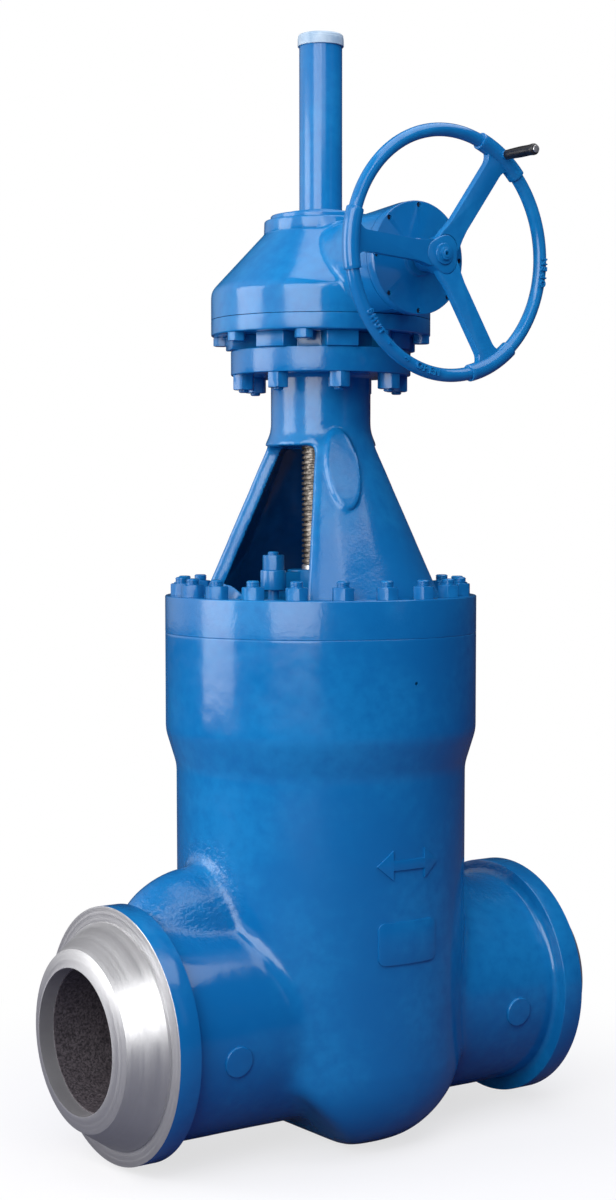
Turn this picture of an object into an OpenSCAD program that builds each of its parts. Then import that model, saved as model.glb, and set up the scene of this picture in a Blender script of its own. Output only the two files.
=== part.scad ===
// Pressure seal gate valve: a cast body with butt weld ends, a conical yoke
// and a bevel gear operator that is turned with a handwheel.
// X runs along the pipe, the handwheel faces -Y and the stem rises along +Z.
// The origin is the centre of the left weld end's face.

/* [Run and weld ends] */
// Length from weld end to weld end
run_length = 1664; // [1500:4:2000]
// Radius of the cast flow passage
port_r = 200; // [170:1:203]
// Step from the flow passage out to the machined bore at each weld end
bore_step = 4; // [2:0.5:6]
// Depth of the machined bore
bore_depth = 46; // [30:1:60]
// Thickness of the lip at the root of the weld bevel
lip_wall = 3; // [2:0.5:6]
// Outer radius of the pipe that is welded on
pipe_r = 254; // [250:1:260]
// Length of the weld bevel along the run
bevel_length = 16.5; // [12:0.5:25]
// Length of the machined cone from the pipe radius to the collar
cone_length = 93; // [60:1:120]
// Radius of the machined cone where it meets the collar face
cone_r = 317; // [300:1:330]
// Height of the small machined step on the collar face
step_height = 7; // [3:1:12]
// Outer radius of the round stub between the collar and the neck
stub_r = 318; // [300:1:330]
// Height of the collar over the stub
collar_height = 43; // [30:1:50]
// Width of the collar along the run
collar_width = 69; // [50:1:90]
// Radius of the round boss on each stub
boss_r = 20; // [14:1:26]
// Height of the round boss over the stub
boss_height = 5; // [3:0.5:10]
// Distance of the round boss from the collar
boss_setback = 146; // [80:1:160]
// Angle of the round boss below the pipe axis, in degrees
boss_tilt = 7; // [0:1:20]

/* [Body casting] */
// Height of the joint between the body and the yoke over the pipe axis
joint_z = 1102; // [1102:1:1330]
// Height of the machined top of the body
machined_height = 285; // [240:1:320]
// Length of the taper between the neck and the machined top
taper_length = 101; // [60:1:120]
// Wall of the cast neck
neck_wall = 124; // [110:1:135]
// Step from the neck out to the machined top
top_step = 31; // [20:1:40]
// Wall at the bottom of the bowl
bowl_wall = 88; // [80:1:110]
// Rounding radius of the bowl's lower edge
bowl_round = 239; // [200:1:260]
// Radius of the bowl's narrow underside, seen from the front
bowl_keel_r = 190; // [150:1:220]
// Radius of the rounded shoulder on each stub
shoulder_r = 248; // [220:1:260]
// Half width of the slot that holds the closed gate
slot_half = 150; // [135:1:160]
// Gap around the gate in its slot
slot_gap = 49; // [30:1:60]
// Radius of the vent hole in the machined top
vent_r = 5; // [3:0.5:8]
// Distance of the vent hole below the joint
vent_drop = 124; // [80:1:130]

/* [Gate and stem] */
// Overlap of the gate's face on its seats
gate_overlap = 36; // [20:1:40]
// Half thickness of the gate on the pipe axis
gate_half = 90; // [80:1:95]
// Slope of each gate face, in degrees
wedge_angle = 5; // [3:0.5:6]
// Height by which the open gate clears the flow passage
lift_spare = 9; // [5:1:12]
// Radius of the stem
stem_r = 55; // [45:1:60]

/* [Bonnet and gland] */
// Distance of the bonnet's underside below the joint
bonnet_drop = 337; // [330:1:340]
// Thickness of the bonnet under its seal
bonnet_plate = 120; // [90:1:130]
// Wall of the bonnet's neck around the packing
bonnet_neck_wall = 37; // [25:1:45]
// Height of the bonnet's neck over the joint
bonnet_rise = 94; // [80:1:100]
// Height of the packing set
packing_height = 120; // [80:1:140]
// Distance of each gland bolt from the stem
gland_bolt_x = 168; // [160:1:180]
// Radius of the gland bolts
gland_bolt_r = 16; // [12:1:18]
// Radius of the bosses at the ends of the gland flange
gland_boss_r = 38; // [34:1:42]
// Thickness of the gland flange
gland_thick = 58; // [40:1:60]
// Height of the gland flange's top over the yoke's base ring
gland_rise = 75; // [60:1:90]
// Height of a gland nut
gland_nut_height = 43; // [30:1:48]

/* [Yoke] */
// Thickness of the yoke's base ring
ring_thick = 108; // [90:1:130]
// Height of the yoke's cone
yoke_cone_height = 474; // [440:1:560]
// Radius of the yoke's neck
yoke_neck_r = 145; // [135:1:155]
// Height of the yoke's neck
yoke_neck_height = 161; // [150:1:200]
// Wall of the yoke's cone
yoke_wall = 50; // [40:1:60]
// Half of the angle that each yoke arm spans, in degrees
arm_half_angle = 42; // [38:1:50]
// Height of the crown between the windows and the neck
crown_height = 44; // [30:1:60]
// Distance of the crown's flat faces from the stem's axis
crown_flat = 92; // [84:1:110]
// Radius of the yoke's top flange
flange_r = 261; // [255:1:275]
// Thickness of the top flange
flange_thick = 70; // [60:1:80]

/* [Bolting] */
// Count of yoke studs
yoke_stud_count = 20; // [16:4:24]
// Distance of the yoke studs from the ring's edge
yoke_stud_inset = 47; // [40:1:52]
// Radius of a yoke stud
yoke_stud_r = 18; // [14:1:20]
// Width of a yoke nut across its flats
yoke_nut_flats = 56; // [48:1:60]
// Height of a yoke nut
yoke_nut_height = 35; // [28:1:40]
// Length of stud that stands out of its nut
stud_tip = 18; // [8:1:25]
// Distance of the flange studs from the flange's edge
flange_stud_inset = 33; // [29:1:38]
// Radius of a flange stud
flange_stud_r = 15; // [12:1:17]
// Width of a flange nut across its flats
flange_nut_flats = 56; // [44:1:57]
// Height of a flange nut
flange_nut_height = 43; // [26:1:46]
// Length of stud that stands out of a flange nut
flange_stud_tip = 8; // [5:1:20]

/* [Gear operator] */
// Height of the gap between the top flange and the gear drum
adapter_height = 43; // [38:1:60]
// Width of each lug of the adapter
lug_width = 92; // [80:1:96]
// Reach of the lugs from the stem's axis
lug_reach = 272; // [265:1:276]
// Radius of the adapter between its lugs
adapter_r = 205; // [190:1:210]
// Outer radius of the gear drum
drum_r = 318; // [308:1:330]
// Thickness of the drum's base plate
base_plate_thick = 45; // [35:1:55]
// Height of the drum over its base plate
drum_height = 82; // [70:1:95]
// Height of the drum's cone
cone_height = 166; // [150:1:180]
// Radius of the cone's small end
cone_top_r = 163; // [150:1:170]
// Height of the round lip on the cone
lip_height = 37; // [30:1:45]
// Radius of the cover on the lip
cover_r = 145; // [135:1:149]
// Thickness of the cover on the lip
cover_thick = 15; // [10:1:20]
// Count of bolts in each circle of the operator
operator_bolt_count = 8; // [6:1:8]
// Distance of the housing bolts from the drum's edge
housing_bolt_inset = 26; // [22:1:30]
// Width of a housing bolt's head across its flats
housing_bolt_flats = 46; // [36:1:48]
// Height of a housing bolt's head
housing_bolt_height = 24; // [18:1:28]
// Radius of a housing bolt
housing_bolt_r = 12; // [8:1:14]
// Depth of a housing bolt in the drum
housing_bolt_depth = 40; // [25:1:50]
// Radius of the input housing where it leaves the gearbox
input_r = 132; // [120:1:143]
// Height of the input shaft's axis below the gearbox's lip
input_drop = 144; // [140:1:150]
// Distance of the input cover's front face from the stem's axis
input_reach = 458; // [440:1:470]
// Radius of the input cover and of the housing behind it
input_cover_r = 154; // [148:1:158]
// Thickness of the input cover
input_cover_thick = 32; // [24:1:40]
// Radius of the input shaft
shaft_r = 26; // [20:1:30]
// Wall of the housing's shell
housing_wall = 26; // [18:1:32]
// Gap between the stem and the tube that protects it
tube_gap = 3; // [2:0.5:6]
// Wall of the tube
tube_wall = 4; // [3:0.5:5]
// Length of tube to spare over the raised stem
tube_spare = 67; // [40:1:100]
// Wall of the tube's cap
cap_wall = 4.6; // [3:0.2:8]
// Depth of the cap's skirt
cap_depth = 34; // [25:1:50]

/* [Handwheel] */
// Outer radius of the rim
wheel_r = 343; // [320:1:360]
// Radius of the rim's tube
rim_tube_r = 18; // [14:1:20]
// Radius of the sleeves on the rim
sleeve_r = 22; // [21:0.5:24]
// Half of the angle that each sleeve spans, in degrees
sleeve_half_angle = 14; // [10:1:20]
// Distance of the rim's plane from the input cover
wheel_stand = 128; // [100:1:160]
// Count of spokes
spoke_count = 3; // [3:1:5]
// Angle of the spoke that carries the crank grip
first_spoke = 57; // [0:1:90]
// Width of a spoke in the handwheel's plane
spoke_width = 55; // [30:1:60]
// Thickness of a spoke
spoke_thick = 24; // [14:1:30]
// Radius of the flare where a spoke meets the rim
spoke_flare = 34; // [10:1:36]
// Distance of the spokes behind the rim's plane at the hub
wheel_dish = 36; // [20:1:50]
// Mean radius of the wheel's three-cornered hub
hub_r = 49; // [44:1:60]
// Gap between the hub and the input cover's collar
hub_gap = 18; // [10:1:40]
// Length of the hub in front of its spokes
hub_boss = 6; // [3:1:12]
// Radius of the crank grip
grip_r = 15.5; // [11.5:0.5:17]
// Length of the crank grip
grip_length = 118; // [100:1:150]

/* [Clearances] */
// Gap around what turns or slides in a bore
running_fit = 0.05; // [0.02:0.01:0.1]
// Gap between neighbours that lie in each other without a fit
loose_fit = 1; // [0.5:0.1:2]
// Gap between faces that rest on each other and part in use
seat_gap = 0.3; // [0.2:0.05:0.4]

/* [Hidden] */
$fn = 96;

PAINT = [0.02, 0.23, 0.55];
STEEL = [0.72, 0.73, 0.75];
THREAD_STEEL = [0.40, 0.35, 0.30];
GRAPHITE = [0.10, 0.10, 0.11];
BRONZE = [0.60, 0.45, 0.22];
IVORY = [0.86, 0.87, 0.84];
BLACK = [0.03, 0.03, 0.03];

EPS = 0.01;                       // overlap of shapes that are fused
CUT = 1;                          // run-out of a cut past its surface
run_half = run_length / 2;
collar_face = run_half - bevel_length - cone_length - step_height;
collar_back = collar_face - collar_width;
collar_r = stub_r + collar_height;
bore_r = port_r + bore_step;
lip_r = bore_r + lip_wall;

gate_r = port_r + gate_overlap;
gate_lift = port_r + gate_r + lift_spare;
slot_r = gate_r + slot_gap;       // U-shaped bottom of the gate's slot
slot_top = gate_r + 34;           // height where the slot opens into the chamber
seat_outer = port_r + 34;
seat_inset = 26;                  // how far a seat ring sits in the body's wall
chamber_r = slot_r + 15;
neck_r = chamber_r + neck_wall;
top_r = neck_r + top_step;
bowl_depth = slot_r + bowl_wall;
taper_z = joint_z - machined_height - taper_length;
shoulder_x = neck_r + 3;
shoulder_z = stub_r - 116;

stem_head_r = stem_r + 26;
stem_head_z = gate_r + 6;
stem_head_h = 32;
gate_lug_half = 60;
gate_lug_top = stem_head_z + stem_head_h + 34;

bonnet_z = joint_z - bonnet_drop;
bonnet_top_z = joint_z + bonnet_rise;
bonnet_bore = stem_r + loose_fit;
packing_r = stem_r + 26;
bonnet_neck_r = packing_r + bonnet_neck_wall;
packing_z = bonnet_top_z - packing_height - 70;
seal_z = bonnet_z + bonnet_plate;
seal_height = 60;
seal_bore = bonnet_neck_r + 60;
retainer_z = joint_z + 38;
retainer_thick = 52;
retainer_wall = 60;

ring_top = joint_z + ring_thick;
yoke_base_r = chamber_r + 55;
ring_bore = chamber_r + 8;
yoke_neck_z = ring_top + yoke_cone_height;
crown_rise = 24;                  // neck that stays round under the flange
window_top_z = yoke_neck_z - crown_height;
window_half_angle = 90 - arm_half_angle;
arm_end_z = yoke_neck_z + 16;     // where the arms' edges run out on the neck
flange_z = yoke_neck_z + yoke_neck_height;
flange_top = flange_z + flange_thick;
gland_top_z = ring_top + gland_rise;
yoke_stud_circle = top_r - yoke_stud_inset;
yoke_stud_depth = 60;
flange_stud_circle = flange_r - flange_stud_inset;
flange_stud_depth = adapter_height - 8;

drum_z = flange_top + adapter_height;
drum_base_z = drum_z + base_plate_thick;
drum_top = drum_base_z + drum_height;
cone_top = drum_top + cone_height;
lip_top = cone_top + lip_height;
cover_top = lip_top + cover_thick;
housing_bolt_circle = drum_r - housing_bolt_inset;
input_z = lip_top - input_drop;
input_body_reach = input_reach - input_cover_thick;
input_bore = shaft_r + 20;
input_start = cone_top_r + 2;     // back of the input housing, just clear of the lip
input_screw_inset = 11;           // from the screw circle to the cover's edge
input_screw_circle = input_cover_r - input_screw_inset;
input_screw_r = 4;
input_screw_head_r = 6;
input_screw_sink = 9;
input_screw_depth = 28;           // how far a cover screw reaches into the housing
input_collar = 10;                // height of the collar around the shaft
nut_r = stem_r + 34;              // outside of the stem nut
nut_top = cover_top - 3;
stem_top_z = nut_top - 10;
tube_r = stem_r + tube_gap + tube_wall;
tube_length = gate_lift + tube_spare;
tube_top = cover_top + tube_length;

wheel_plane = input_reach + wheel_stand;
hub_back = wheel_stand - input_collar - hub_gap;
hub_sink = wheel_dish - spoke_thick / 2 - hub_boss; // hub's front behind the rim's plane
hub_length = hub_back - hub_sink;
hub_corner = 18;                  // from the hub's axis to the centre of each corner's round
rim_r = wheel_r - rim_tube_r;
washer_r = 29;
washer_height = 5;
hub_nut_flats = 32;
hub_nut_height = 8;
shaft_tip_r = 12;                 // threaded end of the shaft
shaft_shoulder = wheel_plane - hub_sink - loose_fit;
shaft_front = wheel_plane - hub_sink + washer_height + hub_nut_height + 1;
pin_r = 7;
pin_collar_r = 11;
pin_collar_top = sleeve_r + 8;
pin_head = 4;

// Moves what is drawn about the valve's own axis into the part's frame
module at_valve() {
    translate([run_half, 0, 0]) children();
}

// Turns what is drawn along +Z so that it runs along +X
module along_x() {
    rotate([0, 90, 0]) children();
}

// Turns what is drawn along +Z so that it runs along -Y
module towards_front() {
    rotate([90, 0, 0]) children();
}

// Places a shape at both ends of the run, each facing outwards
module both_ends() {
    for (turn = [0, 180]) rotate([0, 0, turn]) children();
}

// Repeats a shape around the vertical axis
module around(count, radius, first = 0) {
    for (i = [0 : count - 1])
        rotate([0, 0, first + i * 360 / count]) translate([radius, 0, 0]) children();
}

module tube(r_out, r_in, h) {
    difference() {
        cylinder(r = r_out, h = h);
        translate([0, 0, -CUT]) cylinder(r = r_in, h = h + 2 * CUT);
    }
}

module hexagon(flats, h) {
    cylinder(r = flats / 2 / cos(30), h = h, $fn = 6);
}

module nut(flats, bore, h) {
    difference() {
        hexagon(flats, h);
        translate([0, 0, -CUT]) cylinder(r = bore, h = h + 2 * CUT);
    }
}

// Outline of a weld end, turned about the pipe axis
module weld_end() {
    along_x() rotate_extrude() polygon([
        [0, 0], [stub_r, 0], [stub_r, collar_back], [collar_r, collar_back],
        [collar_r, collar_face], [cone_r, collar_face],
        [cone_r, collar_face + step_height],
        [pipe_r, run_half - bevel_length], [lip_r, run_half], [0, run_half]
    ]);
}

// Section across the run that narrows the bowl: a round keel under two flanks
module keel_section() {
    keel_z = bowl_keel_r - bowl_depth;
    tangent = bowl_keel_r * sin(45);
    translate([0, keel_z]) circle(bowl_keel_r);
    polygon([
        [-tangent, keel_z - tangent], [tangent, keel_z - tangent],
        [tangent + bowl_depth, keel_z - tangent + bowl_depth],
        [-tangent - bowl_depth, keel_z - tangent + bowl_depth]
    ]);
}

// Round bottom under the neck, cut narrow along the run
module bowl() {
    intersection() {
        rotate_extrude() {
            translate([neck_r - bowl_round, bowl_round - bowl_depth])
                intersection() {
                    circle(bowl_round);
                    translate([0, -bowl_round]) square(bowl_round);
                }
            translate([0, -bowl_depth]) square([neck_r - bowl_round + EPS, bowl_depth]);
            translate([0, bowl_round - bowl_depth - EPS])
                square([neck_r, bowl_depth - bowl_round + EPS]);
        }
        rotate([90, 0, 0]) translate([0, 0, -neck_r - CUT])
            linear_extrude(2 * (neck_r + CUT)) keel_section();
    }
}

module stub_details() {
    translate([shoulder_x, 0, shoulder_z]) sphere(r = shoulder_r);
    for (side = [-1, 1])
        rotate([side * (90 + boss_tilt), 0, 0]) translate([collar_back - boss_setback, 0, 0])
            cylinder(r = boss_r, h = stub_r + boss_height);
}

module body_outside() {
    both_ends() {
        weld_end();
        stub_details();
    }
    bowl();
    translate([0, 0, -EPS]) cylinder(r = neck_r, h = taper_z + EPS);
    translate([0, 0, taper_z]) cylinder(r1 = neck_r, r2 = top_r, h = taper_length);
    translate([0, 0, taper_z + taper_length - EPS])
        cylinder(r = top_r, h = joint_z - taper_z - taper_length + EPS);
}

module body_cavity() {
    // flow passage with a machined bore at each weld end
    both_ends() {
        along_x() cylinder(r = port_r, h = run_half);
        along_x() translate([0, 0, run_half - bore_depth])
            cylinder(r = bore_r, h = bore_depth + CUT);
        along_x() translate([0, 0, slot_half - CUT])
            cylinder(r = seat_outer, h = seat_inset + CUT);
    }
    // slot for the closed gate, and the round chamber over it
    translate([-slot_half, 0, 0]) along_x() cylinder(r = slot_r, h = 2 * slot_half);
    translate([-slot_half, -slot_r, 0]) cube([2 * slot_half, 2 * slot_r, slot_top + EPS]);
    translate([0, 0, slot_top]) cylinder(r = chamber_r, h = joint_z);
    // the vent reaches the space over the bonnet's seal
    rotate([0, 0, -90]) translate([chamber_r, 0, joint_z - vent_drop]) along_x()
        cylinder(r = vent_r, h = top_r);
}

module body() {
    color(PAINT) at_valve() difference() {
        body_outside();
        body_cavity();
        translate([0, 0, joint_z - yoke_stud_depth])
            around(yoke_stud_count, yoke_stud_circle, 180 / yoke_stud_count)
                cylinder(r = yoke_stud_r, h = yoke_stud_depth + CUT);
    }
}

// Ring in the wall around the bore, with its face cut to the gate's slope
module seat_ring() {
    difference() {
        along_x() translate([0, 0, gate_half - 40])
            tube(seat_outer, port_r, slot_half + seat_inset - gate_half + 40);
        wedge(gate_half + seat_gap / cos(wedge_angle), 2 * seat_outer + 2 * CUT);
    }
}

module seat_ring_left() {
    color(STEEL) at_valve() rotate([0, 0, 180]) seat_ring();
}

module seat_ring_right() {
    color(STEEL) at_valve() seat_ring();
}

// Prism with the gate's slope on both sides: thin at the bottom
module wedge(half, height) {
    slope = height / 2 * tan(wedge_angle);
    rotate([90, 0, 0]) translate([0, 0, -height / 2]) linear_extrude(height)
        polygon([
            [-half + slope, -height / 2], [half - slope, -height / 2],
            [half + slope, height / 2], [-half - slope, height / 2]
        ]);
}

module gate() {
    color(STEEL) at_valve() difference() {
        union() {
            intersection() {
                translate([-gate_r, 0, 0]) along_x() cylinder(r = gate_r, h = 2 * gate_r);
                wedge(gate_half, 2 * gate_r + 2 * CUT);
            }
            translate([-gate_lug_half, -2 * gate_lug_half, gate_r - gate_lug_half])
                cube([2 * gate_lug_half, 4 * gate_lug_half, gate_lug_top - gate_r + gate_lug_half]);
        }
        // flexible groove between the two faces
        difference() {
            translate([-16, 0, 0]) along_x() cylinder(r = gate_r + CUT, h = 32);
            translate([-16 - CUT, 0, 0]) along_x() cylinder(r = 96, h = 32 + 2 * CUT);
            translate([-gate_r, -gate_r, gate_r - 70]) cube(2 * gate_r);
        }
        // slot that the stem's head hangs in
        translate([-gate_lug_half - CUT, -stem_head_r - loose_fit, stem_head_z - seat_gap])
            cube([
                2 * (gate_lug_half + CUT), 2 * (stem_head_r + loose_fit),
                stem_head_h + 2 * seat_gap
            ]);
        translate([-gate_lug_half - CUT, -stem_r - loose_fit, stem_head_z])
            cube([2 * (gate_lug_half + CUT), 2 * (stem_r + loose_fit), gate_lug_top]);
    }
}

module stem() {
    color(THREAD_STEEL) at_valve() {
        translate([0, 0, stem_head_z]) intersection() {
            cylinder(r = stem_head_r, h = stem_head_h);
            translate([-gate_lug_half, -stem_head_r, 0])
                cube([2 * gate_lug_half, 2 * stem_head_r, stem_head_h]);
        }
        translate([0, 0, stem_head_z]) cylinder(r = stem_r, h = stem_top_z - stem_head_z);
    }
}

module bonnet() {
    color(STEEL) at_valve() difference() {
        rotate_extrude() polygon([
            [0, bonnet_z], [chamber_r - loose_fit, bonnet_z],
            [chamber_r - loose_fit, seal_z], [bonnet_neck_r, seal_z],
            [bonnet_neck_r, bonnet_top_z], [0, bonnet_top_z]
        ]);
        translate([0, 0, bonnet_z - CUT]) cylinder(r = bonnet_bore, h = joint_z);
        translate([0, 0, packing_z]) cylinder(r = packing_r, h = bonnet_top_z);
    }
}

// Soft ring on the bonnet's shoulder and the loading ring over it
module seal_ring() {
    color(GRAPHITE) at_valve() translate([0, 0, seal_z])
        tube(chamber_r, seal_bore, seal_height);
}

module bonnet_retainer() {
    color(PAINT) at_valve() difference() {
        union() {
            translate([0, 0, seal_z + seal_height])
                tube(
                    chamber_r - loose_fit, chamber_r - retainer_wall,
                    retainer_z - seal_z - seal_height
                );
            translate([0, 0, retainer_z - EPS])
                tube(ring_bore - loose_fit, bonnet_neck_r + loose_fit, retainer_thick + EPS);
        }
        for (side = [-1, 1])
            translate([side * gland_bolt_x, 0, retainer_z - CUT])
                cylinder(r = gland_bolt_r, h = retainer_thick + 2 * CUT);
    }
}

module packing() {
    color(GRAPHITE) at_valve() translate([0, 0, packing_z])
        tube(packing_r, stem_r + running_fit, packing_height);
}

module gland_flange() {
    color(PAINT) at_valve() difference() {
        union() {
            translate([0, 0, packing_z + packing_height])
                cylinder(
                    r = packing_r - loose_fit, h = gland_top_z - packing_z - packing_height
                );
            translate([0, 0, gland_top_z - gland_thick])
                cylinder(r = packing_r + 31, h = gland_thick);
            for (side = [-1, 1])
                translate([side * gland_bolt_x, 0, gland_top_z - gland_thick - 10])
                    cylinder(r = gland_boss_r, h = gland_thick + 10);
            translate([-gland_bolt_x, -gland_boss_r, gland_top_z - gland_thick])
                cube([2 * gland_bolt_x, 2 * gland_boss_r, gland_thick]);
        }
        translate([0, 0, packing_z]) cylinder(r = bonnet_bore, h = gland_top_z);
        for (side = [-1, 1])
            translate([side * gland_bolt_x, 0, packing_z])
                cylinder(r = gland_bolt_r + loose_fit, h = gland_top_z);
    }
}

module gland_studs() {
    color(STEEL) at_valve() for (side = [-1, 1])
        translate([side * gland_bolt_x, 0, retainer_z])
            cylinder(r = gland_bolt_r, h = gland_top_z + gland_nut_height + 10 - retainer_z);
}

module gland_nuts() {
    color(PAINT) at_valve() for (side = [-1, 1])
        translate([side * gland_bolt_x, 0, gland_top_z])
            nut(yoke_nut_flats, gland_bolt_r, gland_nut_height);
}

// Outline of the yoke's cone, with its inside offset by the wall
module yoke_cone_profile(inset) {
    polygon([
        [0, ring_top - 2 * EPS], [yoke_base_r - inset, ring_top - 2 * EPS],
        [yoke_neck_r - inset, yoke_neck_z], [0, yoke_neck_z]
    ]);
}

module yoke() {
    color(PAINT) at_valve() difference() {
        union() {
            translate([0, 0, joint_z]) cylinder(r = top_r, h = ring_thick);
            rotate_extrude() yoke_cone_profile(0);
            translate([0, 0, yoke_neck_z - EPS])
                cylinder(r = yoke_neck_r, h = flange_z - yoke_neck_z + 2 * EPS);
            translate([0, 0, flange_z]) cylinder(r = flange_r, h = flange_thick);
        }
        translate([0, 0, joint_z - CUT]) cylinder(r = ring_bore, h = ring_thick + CUT);
        // inside of the cone, closed by the crown over the windows
        intersection() {
            rotate_extrude() yoke_cone_profile(yoke_wall);
            translate([-neck_r, -neck_r, 0]) cube([2 * neck_r, 2 * neck_r, window_top_z]);
        }
        // the two windows open along the run
        both_ends() {
            window_cut();
            crown_cut();
        }
        translate([0, 0, window_top_z - CUT]) cylinder(r = stem_r + 6, h = flange_top);
        translate([0, 0, joint_z - CUT])
            around(yoke_stud_count, yoke_stud_circle, 180 / yoke_stud_count)
                cylinder(r = yoke_stud_r, h = ring_thick + 2 * CUT);
        translate([0, 0, flange_z - CUT])
            around(operator_bolt_count, flange_stud_circle, 180 / operator_bolt_count)
                cylinder(r = flange_stud_r, h = flange_thick + 2 * CUT);
    }
}

// Sector between the two arms
module between_arms() {
    reach = 2 * yoke_base_r;
    polygon([
        [0, 0],
        [reach * cos(window_half_angle), -reach * sin(window_half_angle)],
        [reach * cos(window_half_angle), reach * sin(window_half_angle)]
    ]);
}

// Opening of a window, with edges along the cone's slope
module window_cut() {
    translate([0, 0, ring_top]) linear_extrude(window_top_z - ring_top) between_arms();
}

// Flat face over a window: between the arms low down, across the neck higher up
module crown_cut() {
    translate([0, 0, window_top_z - EPS]) linear_extrude(arm_end_z - window_top_z + EPS)
        intersection() {
            between_arms();
            translate([crown_flat, -yoke_base_r]) square(2 * yoke_base_r);
        }
    translate([crown_flat, -yoke_neck_r, arm_end_z - EPS])
        cube([yoke_neck_r, 2 * yoke_neck_r, flange_z - arm_end_z - crown_rise + EPS]);
}

module yoke_studs() {
    color(PAINT) at_valve() translate([0, 0, joint_z - yoke_stud_depth])
        around(yoke_stud_count, yoke_stud_circle, 180 / yoke_stud_count)
            cylinder(
                r = yoke_stud_r,
                h = yoke_stud_depth + ring_thick + yoke_nut_height + stud_tip
            );
}

module yoke_nuts() {
    color(PAINT) at_valve() translate([0, 0, ring_top])
        around(yoke_stud_count, yoke_stud_circle, 180 / yoke_stud_count)
            nut(yoke_nut_flats, yoke_stud_r, yoke_nut_height);
}

module flange_studs() {
    color(PAINT) at_valve() translate([0, 0, flange_z - flange_nut_height - flange_stud_tip])
        around(operator_bolt_count, flange_stud_circle, 180 / operator_bolt_count)
            cylinder(
                r = flange_stud_r,
                h = flange_thick + flange_nut_height + flange_stud_tip + flange_stud_depth
            );
}

module flange_nuts() {
    color(PAINT) at_valve() translate([0, 0, flange_z - flange_nut_height])
        around(operator_bolt_count, flange_stud_circle, 180 / operator_bolt_count)
            nut(flange_nut_flats, flange_stud_r, flange_nut_height);
}

module adapter() {
    color(PAINT) at_valve() difference() {
        translate([0, 0, flange_top]) union() {
            cylinder(r = adapter_r, h = adapter_height);
            around(operator_bolt_count, 0, 180 / operator_bolt_count)
                translate([0, -lug_width / 2, 0]) cube([lug_reach, lug_width, adapter_height]);
        }
        translate([0, 0, flange_top - CUT])
            cylinder(r = nut_r + loose_fit, h = adapter_height + 2 * CUT);
        translate([0, 0, flange_top - CUT])
            around(operator_bolt_count, flange_stud_circle, 180 / operator_bolt_count)
                cylinder(r = flange_stud_r, h = flange_stud_depth + CUT);
    }
}

// Threaded sleeve that lifts the stem, held in the operator's bearings
module stem_nut() {
    color(BRONZE) at_valve() difference() {
        union() {
            translate([0, 0, flange_top]) cylinder(r = nut_r, h = nut_top - flange_top);
            translate([0, 0, drum_base_z]) cylinder(r = nut_r + 30, h = drum_height);
        }
        translate([0, 0, flange_top - CUT])
            cylinder(r = stem_r + running_fit, h = nut_top - flange_top + 2 * CUT);
    }
}

module housing_base() {
    color(PAINT) at_valve() difference() {
        translate([0, 0, drum_z]) cylinder(r = drum_r, h = base_plate_thick);
        translate([0, 0, drum_z - CUT])
            cylinder(r = nut_r + loose_fit, h = base_plate_thick + 2 * CUT);
        housing_bolt_holes();
    }
}

module housing_bolts() {
    color(PAINT) at_valve()
        around(operator_bolt_count, housing_bolt_circle) {
            translate([0, 0, drum_z - housing_bolt_height])
                hexagon(housing_bolt_flats, housing_bolt_height);
            translate([0, 0, drum_z - EPS])
                cylinder(r = housing_bolt_r, h = base_plate_thick + housing_bolt_depth + EPS);
        }
}

module housing_bolt_holes() {
    translate([0, 0, drum_z - CUT]) around(operator_bolt_count, housing_bolt_circle)
        cylinder(r = housing_bolt_r, h = CUT + base_plate_thick + housing_bolt_depth);
}

// Space inside the drum and its cone, offset from the outside by the wall
module housing_inside() {
    rotate_extrude() polygon([
        [0, drum_base_z - CUT], [drum_r - 58, drum_base_z - CUT],
        [drum_r - 58, drum_top - 10], [cone_top_r - housing_wall, cone_top - 20],
        [cone_top_r - housing_wall, lip_top + CUT], [0, lip_top + CUT]
    ]);
}

module gear_housing() {
    color(PAINT) at_valve() difference() {
        rotate_extrude() polygon([
            [0, drum_base_z], [drum_r, drum_base_z], [drum_r, drum_top],
            [cone_top_r, cone_top], [cone_top_r, lip_top], [0, lip_top]
        ]);
        housing_inside();
        // round opening that the input housing is let into
        input_shape();
        housing_bolt_holes();
    }
}

// Outside of the input housing, which widens towards its cover
module input_shape() {
    translate([0, -input_start, input_z]) towards_front()
        cylinder(r1 = input_r, r2 = input_cover_r, h = input_body_reach - input_start);
}

module input_housing() {
    color(PAINT) at_valve() difference() {
        input_shape();
        housing_inside();
        translate([0, 0, input_z]) towards_front()
            cylinder(r = input_bore, h = input_body_reach + CUT);
        translate([0, 0, input_z]) towards_front()
            around(operator_bolt_count, input_screw_circle)
                translate([0, 0, input_body_reach - input_screw_depth])
                    cylinder(r = input_screw_r, h = input_screw_depth + CUT);
        translate([0, 0, drum_z]) cylinder(r = drum_r, h = base_plate_thick);
        housing_bolt_holes();
    }
}

module input_cover() {
    color(PAINT) at_valve() translate([0, -input_body_reach, input_z]) towards_front()
        difference() {
            union() {
                cylinder(r = input_cover_r, h = input_cover_thick);
                cylinder(r = shaft_r + 24, h = input_cover_thick + input_collar);
            }
            translate([0, 0, -CUT])
                cylinder(r = shaft_r + running_fit, h = input_cover_thick + input_collar + 2 * CUT);
            around(operator_bolt_count, input_screw_circle) {
                translate([0, 0, -CUT]) cylinder(r = input_screw_r, h = input_cover_thick + 2 * CUT);
                translate([0, 0, input_cover_thick - input_screw_sink])
                    cylinder(r = input_screw_head_r + loose_fit, h = input_screw_sink + CUT);
            }
        }
}

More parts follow.
